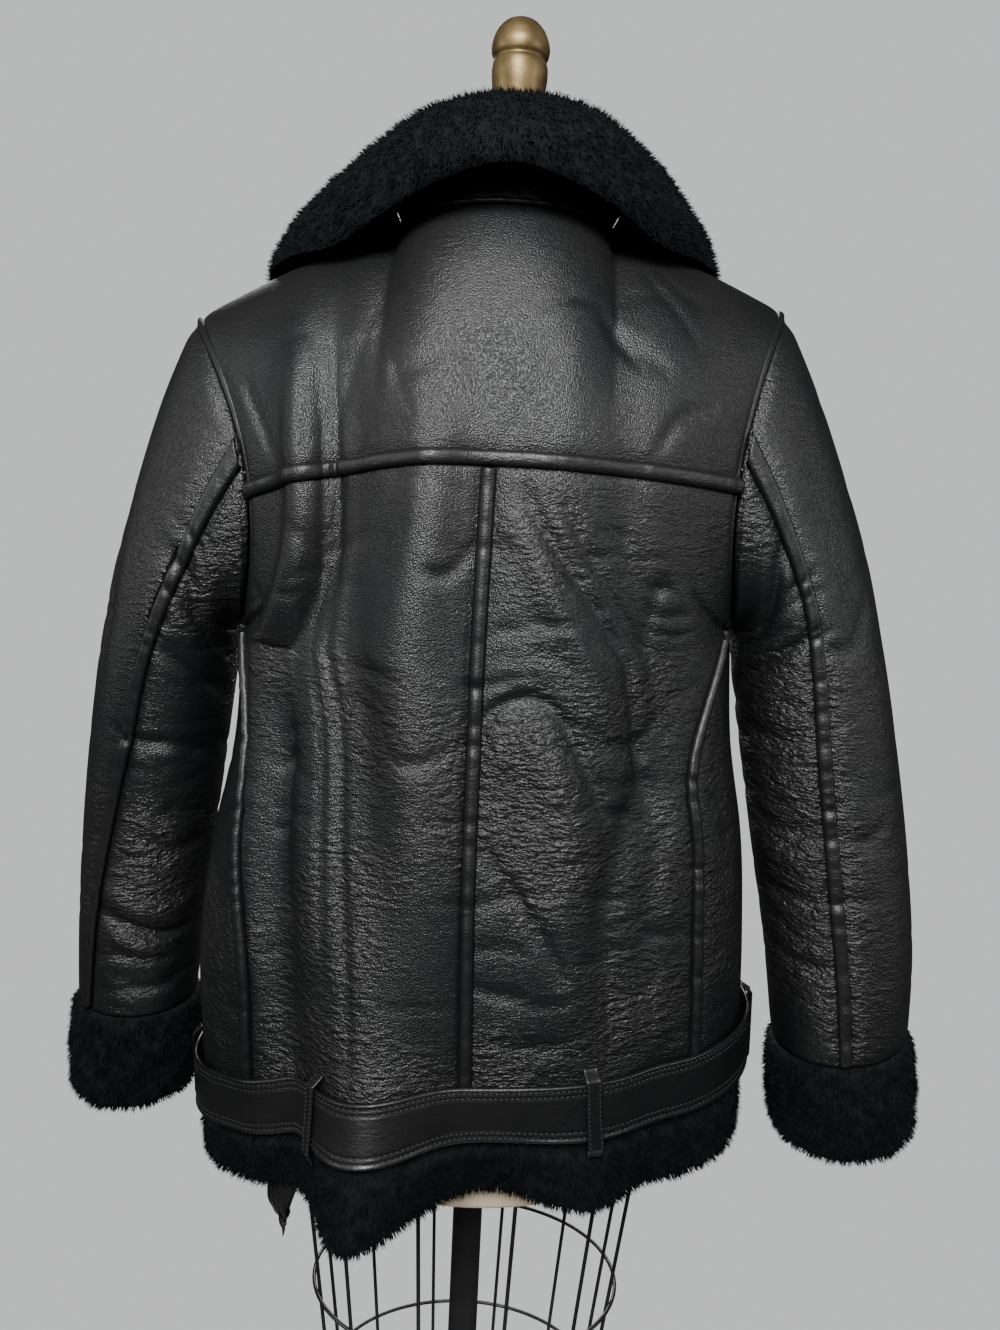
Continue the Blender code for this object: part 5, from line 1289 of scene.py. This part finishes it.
def hem_rise(u, v):
    proud = mix(0.003, -0.0015, ramp(0.50, 0.64, v)) * hem_round(v) - 0.003 * (1 - hem_round(v))
    return proud - 0.0012 + 0.0012 * np.sin(43 * u + 4 * v) * np.sin(29 * u + 6 * v) * hem_round(v)


def turned_place(around):
    """Column and side for a place counted right round the body, 2 at the centre front."""
    around = (around + 2) % 4 - 2
    front = np.abs(around) > 1
    return np.where(around < 0, -1.0, 1.0) * np.where(front, 2 - np.abs(around), np.abs(around)), front


for name, start, stop, count, tip_count, seed in HEM_BANDS:
    def hem_points(u, v):
        column, front = turned_place(mix(start, stop, u))
        return body_points(column, mix(HEM_LEVEL, -0.0006, v), front)

    cloth(name + "_cloth", hem_points, hem_rise, from_spine, FUR,
          inner=lambda u, v: -0.0055 - 0.005 * hem_round(v), cell=HEM_CELL,
          nap=((count, seed, 0.0064, (0.0, -0.9), (0, 1, 0.0, 0.66)),
               (tip_count, TIP_SEED, 0.0050, (0.0, -1.0), (0, 1, 0.0, 0.02))))

# %% [markdown]
# Where the left sleeve's back seam has opened a little, the pile behind it pokes
# out in tufts.

# %% Tufts at the sleeve seam
def tuft_points(u, v):
    share = mix(0.17, 0.29, v)
    return sleeve_points(1, back_seam_angle(1, share) - math.radians(7.0) * (1 - 0.5 * u), share)


def tuft_rise(u, v):
    return 0.0004 + 0 * u


pile("sleeve_seam_pile", tuft_points, tuft_rise, 1.0, False, 420, 111, 0.0052, (-0.6, 0.5))

# %% [markdown]
# ## Belt
# The belt is two layers with rolled edges. Two rows of thread near each edge sink
# into grooves and pull the skin into small puckers between them.

# %% Belt strap and stitches
BELT_WIDTH, BELT_THICK, BELT_STANDOFF, BUCKLE_COLUMN = 0.042, 0.003, 0.0053, 0.44
BELT_START, BELT_TURN, BELT_LENGTH = 2 - BUCKLE_COLUMN - 0.022, 4 - 0.045, 1.30
STITCH_ROWS = (-0.80, -0.62, 0.62, 0.80)
STITCH_PITCH, STRAP_WALL = 0.0038, 0.0022


def strap_profile(t, run, half):
    """Height over a strap's middle layer: t is -1 to 1 across it, run is metres along it."""
    edge = 0.0007 * np.exp(-((np.abs(t) - 0.93) / 0.06) ** 2) - 0.0020 * np.abs(t) ** 26
    groove = sum(np.exp(-(((t - row) * half / 0.0009) ** 2)) for row in STITCH_ROWS)
    puckers = 0.00030 * np.sin(run * 520 + 9 * np.sin(run * 23)) * np.exp(-((np.abs(t) - 0.71) / 0.16) ** 2)
    wrinkles = 0.00028 * np.sin(run * 210 + 14 * np.sin(run * 9.0) + 3 * t) * (1 - t * t)
    return edge - 0.00060 * groove + puckers + wrinkles * np.maximum(np.sin(run * 5.3), 0)


def belt_points(u, v):
    column, front = turned_place(BELT_START - BELT_TURN * u)
    return body_points(column, (v - 0.5) * BELT_WIDTH / BACK_HEIGHT, front)


def belt_rise(u, v):
    return BELT_STANDOFF + 0.0024 + strap_profile(2 * v - 1, u * BELT_LENGTH, BELT_WIDTH / 2)


cloth("belt_strap", belt_points, belt_rise, from_spine, BELT_LEATHER, wall=STRAP_WALL, cells=(330, 40),
      nodes=("belt",))
stitches("belt_stitches", belt_points, lambda u, v: belt_rise(u, v) + 0.0003, from_spine,
         [lambda s, row=row: (s, (row + 1) / 2 + 0 * s) for row in STITCH_ROWS], STITCH_PITCH)

# %% Belt loops
LOOP_WIDTH, LOOP_THICK, LOOP_REST, LOOP_HALF_SPAN = 0.011, 0.002, 0.0012, 0.068
LOOPS = (("back_left", 0.285, False), ("back_right", -0.255, False), ("side_left", 0.985, False),
         ("side_right", -0.985, False), ("front_left", 0.30, True), ("front_right", -0.50, True))
for loop_name, loop_column, loop_front in LOOPS:
    loop_sign, loop_middle = math.copysign(1, loop_column), min(abs(loop_column), 0.98)
    ends = body_points(loop_sign * (loop_middle + np.array([-0.01, 0.01])), np.zeros(2),
                       np.full(2, loop_front))
    loop_scale = float(np.linalg.norm(ends[1] - ends[0])) / 0.02

    def loop_points(u, v):
        at = abs(loop_column) + (u - 0.5) * LOOP_WIDTH / loop_scale
        return body_points(loop_sign * np.where(at > 1, 2 - at, at), mix(-LOOP_HALF_SPAN, LOOP_HALF_SPAN, v),
                           (at > 1) != loop_front)

    def loop_rise(u, v):
        level = mix(-LOOP_HALF_SPAN, LOOP_HALF_SPAN, v)
        clear = ramp(LOOP_HALF_SPAN, LOOP_HALF_SPAN * 0.76, np.abs(level))
        rest = np.where(level > 0, LOOP_REST, LOOP_REST + 0.0040)
        away = np.abs(2 * u - 1)
        edge = 0.0005 * np.exp(-((away - 0.80) / 0.14) ** 2)
        over_belt = BELT_STANDOFF + BELT_THICK + 0.0005
        return mix(rest, over_belt, clear) + LOOP_THICK + edge - 0.0006 * away**12

    cloth("belt_loop_%s_strap" % loop_name, loop_points, loop_rise, from_spine, BELT_LEATHER, wall=0.0016,
          cells=(12, 56), nodes=("belt_loop_" + loop_name,))
    stitches("belt_loop_%s_stitches" % loop_name, loop_points, lambda u, v: loop_rise(u, v) + 0.0001,
             from_spine, [lambda s, row=row: (row + 0 * s, mix(0.04, 0.96, s)) for row in (0.16, 0.84)],
             0.0032)

# %% [markdown]
# The belt's loose end passes the buckle and hangs from it below the fur.

# %% Belt tail
TAIL_COLUMN, TAIL_FOOT_Z, TAIL_WIDTH = 0.575, 0.560, 0.038


def belt_spot(around, share, rise):
    column, front = turned_place(np.array([around]))
    level = np.array([(share - 0.5) * BELT_WIDTH / BACK_HEIGHT])
    p = body_points(column, level, front)[0]
    step = 0.002
    across = body_points(column + step, level, front)[0] - body_points(column - step, level, front)[0]
    upwards = body_points(column, level + step, front)[0] - body_points(column, level - step, front)[0]
    out = unit(np.cross(across, upwards))
    return p + (out if out[1] < 0 else -out) * rise


tail_lift = BELT_STANDOFF + BELT_THICK + 0.0006
tail_top = belt_spot(2 - TAIL_COLUMN, 0.86, tail_lift)
tail_low = belt_spot(2 - TAIL_COLUMN, 0.0, tail_lift)
tail_clear = tail_low + (0.0, -0.0035, -0.012)
tail_foot = np.array((tail_clear[0] - 0.002, tail_clear[1] - 0.004, TAIL_FOOT_Z))
TAIL_PATH = Smooth((0.0, 0.16, 0.24, 1.0), (tail_top, tail_low, tail_clear, tail_foot))
tail_across = unit(belt_spot(2 - TAIL_COLUMN - 0.02, 0.5, tail_lift)
                   - belt_spot(2 - TAIL_COLUMN + 0.02, 0.5, tail_lift))
tail_out = unit(np.cross(tail_across, (0, 0, 1)))
tail_out = tail_out if tail_out[1] < 0 else -tail_out


def tail_points(u, v):
    point_share = ramp(0.86, 1.0, v)
    half = TAIL_WIDTH / 2 * (1 - 0.86 * point_share)
    drop = 0.016 * point_share * (1 - np.abs(2 * u - 1))
    sideways = tail_across * ((2 * u - 1) * half)[..., None]
    return TAIL_PATH(v) + sideways - drop[..., None] * np.array((0, 0, 1.0))


def tail_rise(u, v):
    return 0.0026 + strap_profile(2 * u - 1, v * 0.30, TAIL_WIDTH / 2)


cloth("belt_tail_strap", tail_points, tail_rise, lambda u, v, p: tail_out + 0 * p, BELT_LEATHER,
      wall=STRAP_WALL, cells=(40, 80), nodes=("belt_tail",))
stitches("belt_tail_stitches", tail_points, lambda u, v: tail_rise(u, v) + 0.0003,
         lambda u, v, p: tail_out + 0 * p,
         [lambda s, row=row: ((row + 1) / 2 + 0 * s, mix(0.02, 0.90, s)) for row in STITCH_ROWS],
         STITCH_PITCH)

# %% [markdown]
# ## Zip
# Two woven tapes lie behind the fronts' edges, with a row of small rounded metal
# teeth on each, set half a pitch apart so that they mesh. The slider and its pull
# tab keep the solids' shapes.

# %% Zip tapes and teeth
ZIP_TOP_LEVEL, TAPE_THICK, TOOTH_PITCH = BREAK_LEVEL - 0.01, 0.0008, 0.0027
TAPE_RISE = -0.003 - TAPE_THICK
tooth = bmesh.new()
bmesh.ops.create_cube(tooth, size=2.0)
bmesh.ops.bevel(tooth, geom=tooth.edges[:], offset=0.35, segments=1, profile=0.5, affect="EDGES", material=-1)
TOOTH = small_shape(tooth)
for side, side_name in SIDE_NAMES.items():
    def tape_points(u, v):
        column = side * mix(0.0008, ZIP_COLUMN + 0.022, u)
        return body_points(column, v * ZIP_TOP_LEVEL, np.ones(u.shape, bool))

    cloth("zip_tape_%s_cloth" % side_name, tape_points, lambda u, v: TAPE_RISE + 0 * u, from_spine,
          ZIP_TAPE, wall=TAPE_THICK, cells=(12, 100))
    shares = (np.arange(int(0.33 / TOOTH_PITCH)) + (0.5 if side > 0 else 0.0) + 0.5) * TOOTH_PITCH / 0.36
    shares = shares[shares < 0.92]
    tooth_u = 0 * shares + 0.012
    tooth_out = normals(tape_points, tooth_u, shares)
    tooth_out = tooth_out * np.where(tooth_out[:, 1:2] > 0, -1.0, 1.0)
    tooth_up = unit(tangents(tape_points, tooth_u, shares)[1])
    tooth_side = np.cross(tooth_up, tooth_out)
    tooth_axes = [tooth_side * 0.0017, tooth_up * 0.0009, np.cross(tooth_side, tooth_up) * 0.0010]
    repeated("zip_teeth_" + side_name, TOOTH,
             tape_points(tooth_u, shares) + tooth_out * (TAPE_RISE + 0.0009), np.stack(tooth_axes, 1),
             DARK_METAL)

# %% Metal that keeps the solids' shapes
METAL_NODES = ("zip_slider", "pull_tab", "buckle_frame", "buckle_prong")
for node in METAL_NODES:
    kept = bpy.data.objects[node]
    for holder in kept.material_slots:
        holder.material = DARK_METAL
print("metal nodes kept:", len(METAL_NODES))

# %% [markdown]
# ## Form and stand
# The form is a smooth padded body under taut cloth. A ring of cells is bent onto
# its rows and closed at both ends. The turned parts are spun from their outlines.

# %% Dress form
FORM_ROWS = (   # height, half width, depth of the back and of the front
    (0.745, 0.150, 0.104, 0.100), (0.800, 0.160, 0.110, 0.105), (0.890, 0.163, 0.112, 0.104),
    (1.020, 0.128, 0.088, 0.086), (1.120, 0.137, 0.092, 0.104), (1.210, 0.150, 0.098, 0.120),
    (1.290, 0.156, 0.098, 0.108), (1.350, 0.162, 0.086, 0.082), (1.395, 0.156, 0.066, 0.056),
    (1.4390, 0.126, 0.036, 0.028), (1.4548, 0.090, 0.024, 0.018), (1.4633, 0.056, 0.030, 0.027),
    (1.480, 0.053, 0.045, 0.041), (1.535, 0.050, 0.046, 0.042),
)
FORM_SHAPE = Smooth([row[0] for row in FORM_ROWS], [row[1:] for row in FORM_ROWS])
FORM_RISE = (0.0, 0.04, 0.05, 0.955, 0.965, 1.0)          # shares up the wrap, cap to cap
FORM_HEIGHTS = (0.745, 0.745, 0.749, 1.5325, 1.535, 1.535)
FORM_GROWTH = (0.001, 0.94, 1.0, 1.0, 0.95, 0.001)
form_shape = bmesh.new()
form_chart = form_shape.loops.layers.uv.new("chart")
bmesh.ops.create_grid(form_shape, x_segments=96, y_segments=150, size=0.5, calc_uvs=True)
form_u, form_v = grid_arrays(form_shape)
form_z = np.interp(form_v, FORM_RISE, FORM_HEIGHTS)
form_grow = np.interp(form_v, FORM_RISE, FORM_GROWTH)
form_half = FORM_SHAPE(form_z)
form_turn = form_u * math.tau
form_depth = np.where(np.sin(form_turn) > 0, form_half[:, 1], form_half[:, 2])
for vert, place in zip(form_shape.verts, points(form_half[:, 0] * form_grow * np.cos(form_turn),
                                                form_depth * form_grow * np.sin(form_turn), form_z)):
    vert.co = place
for face in form_shape.faces:
    for loop in face.loops:
        loop[form_chart].uv = (loop[form_chart].uv[0] * 0.86, loop[form_chart].uv[1] * 0.86)
bmesh.ops.remove_doubles(form_shape, verts=form_shape.verts, dist=0.0006)
bmesh.ops.recalc_face_normals(form_shape, faces=form_shape.faces)
form_piece = put_mesh("form_body", form_shape, FORM_CLOTH)
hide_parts("form_torso")

# %% Finial, pole and base
def spun(name, outline, finish, node, steps=72, rounding=0.0):
    """A turned piece: outline gives radius and height from the bottom pole to the top one."""
    shape = bmesh.new()
    rim = [shape.verts.new((max(radius, 0.0), 0.0, height)) for radius, height in outline]
    edges = [shape.edges.new(pair) for pair in zip(rim[:-1], rim[1:])]
    bmesh.ops.spin(shape, geom=rim + edges, cent=(0, 0, 0), axis=(0, 0, 1), angle=math.tau, steps=steps,
                   use_merge=True)
    bmesh.ops.remove_doubles(shape, verts=shape.verts, dist=0.00002)
    bmesh.ops.recalc_face_normals(shape, faces=shape.faces)
    piece = put_mesh(name, shape, finish)
    if rounding:
        soft = piece.modifiers.new("rounded", "BEVEL")
        soft.width, soft.segments = rounding, 3
        soft.limit_method, soft.angle_limit = "ANGLE", math.radians(40)
    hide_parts(node)
    return piece


FINIAL_KNOBS = (   # radius and height over the neck's top
    (0.0180, 0.010), (0.0176, 0.018), (0.0188, 0.026), (0.0202, 0.034), (0.0207, 0.041), (0.0202, 0.046),
    (0.0188, 0.0490), (0.0206, 0.0520), (0.0215, 0.057), (0.0205, 0.062), (0.0178, 0.068), (0.0125, 0.0738),
    (0.006, 0.0766), (0.0, 0.0772),
)
NECK_TOP = 1.5353
knob_line = Smooth(range(len(FINIAL_KNOBS)), FINIAL_KNOBS)(np.linspace(0, len(FINIAL_KNOBS) - 1, 56))
finial_line = [(0.0, 0.0), (0.0330, 0.0), (0.0330, 0.008)] + [tuple(row) for row in knob_line]
spun("finial_turned", [(radius, NECK_TOP + height) for radius, height in finial_line], BRASS, "finial",
     rounding=0.0008)
spun("pole_tube", [(0, 0.0163), (0.0125, 0.0163), (0.0125, 0.7447), (0, 0.7447)], PAINT, "pole",
     40, 0.0006)
spun("base_plate", [(0, 0), (0.190, 0), (0.190, 0.0096), (0.186, 0.016), (0, 0.016)], PAINT, "base",
     128, 0.0012)

# %% [markdown]
# Twelve bars run down from the form's rim inside three hoops, all of painted wire.

# %% Cage
WIRE_RADIUS, WIRE_COUNT, RIM_Z, CAGE_FOOT_Z = 0.0016, 12, 0.745, 0.400
HOOP_HEIGHTS = (0.605, 0.500, 0.405)


def cage_spot(angle, z, grown=0.0):
    share = (RIM_Z - z) / (RIM_Z - CAGE_FOOT_Z)
    half_wide, half_deep = mix(0.143, 0.104, share) + grown, mix(0.097, 0.074, share) + grown
    return half_wide * math.cos(angle), half_deep * math.sin(angle), z


for number in range(WIRE_COUNT):
    angle = math.tau * (number + 0.5) / WIRE_COUNT
    path = [cage_spot(angle, mix(CAGE_FOOT_Z, RIM_Z - 0.0003, share)) for share in np.linspace(0, 1, 9)]
    round_bar("cage_bar_%02d" % (number + 1), path, WIRE_RADIUS, PAINT,
              ("cage_wire_%02d" % (number + 1),))
for number, z in enumerate(HOOP_HEIGHTS):
    path = [cage_spot(math.tau * step / 96, z, 2 * WIRE_RADIUS + 0.0005) for step in range(96)]
    round_bar("cage_hoop_%d" % (number + 1), path, WIRE_RADIUS, PAINT,
              ("cage_ring_%d" % (number + 1),), True)
print("cage bars:", WIRE_COUNT)
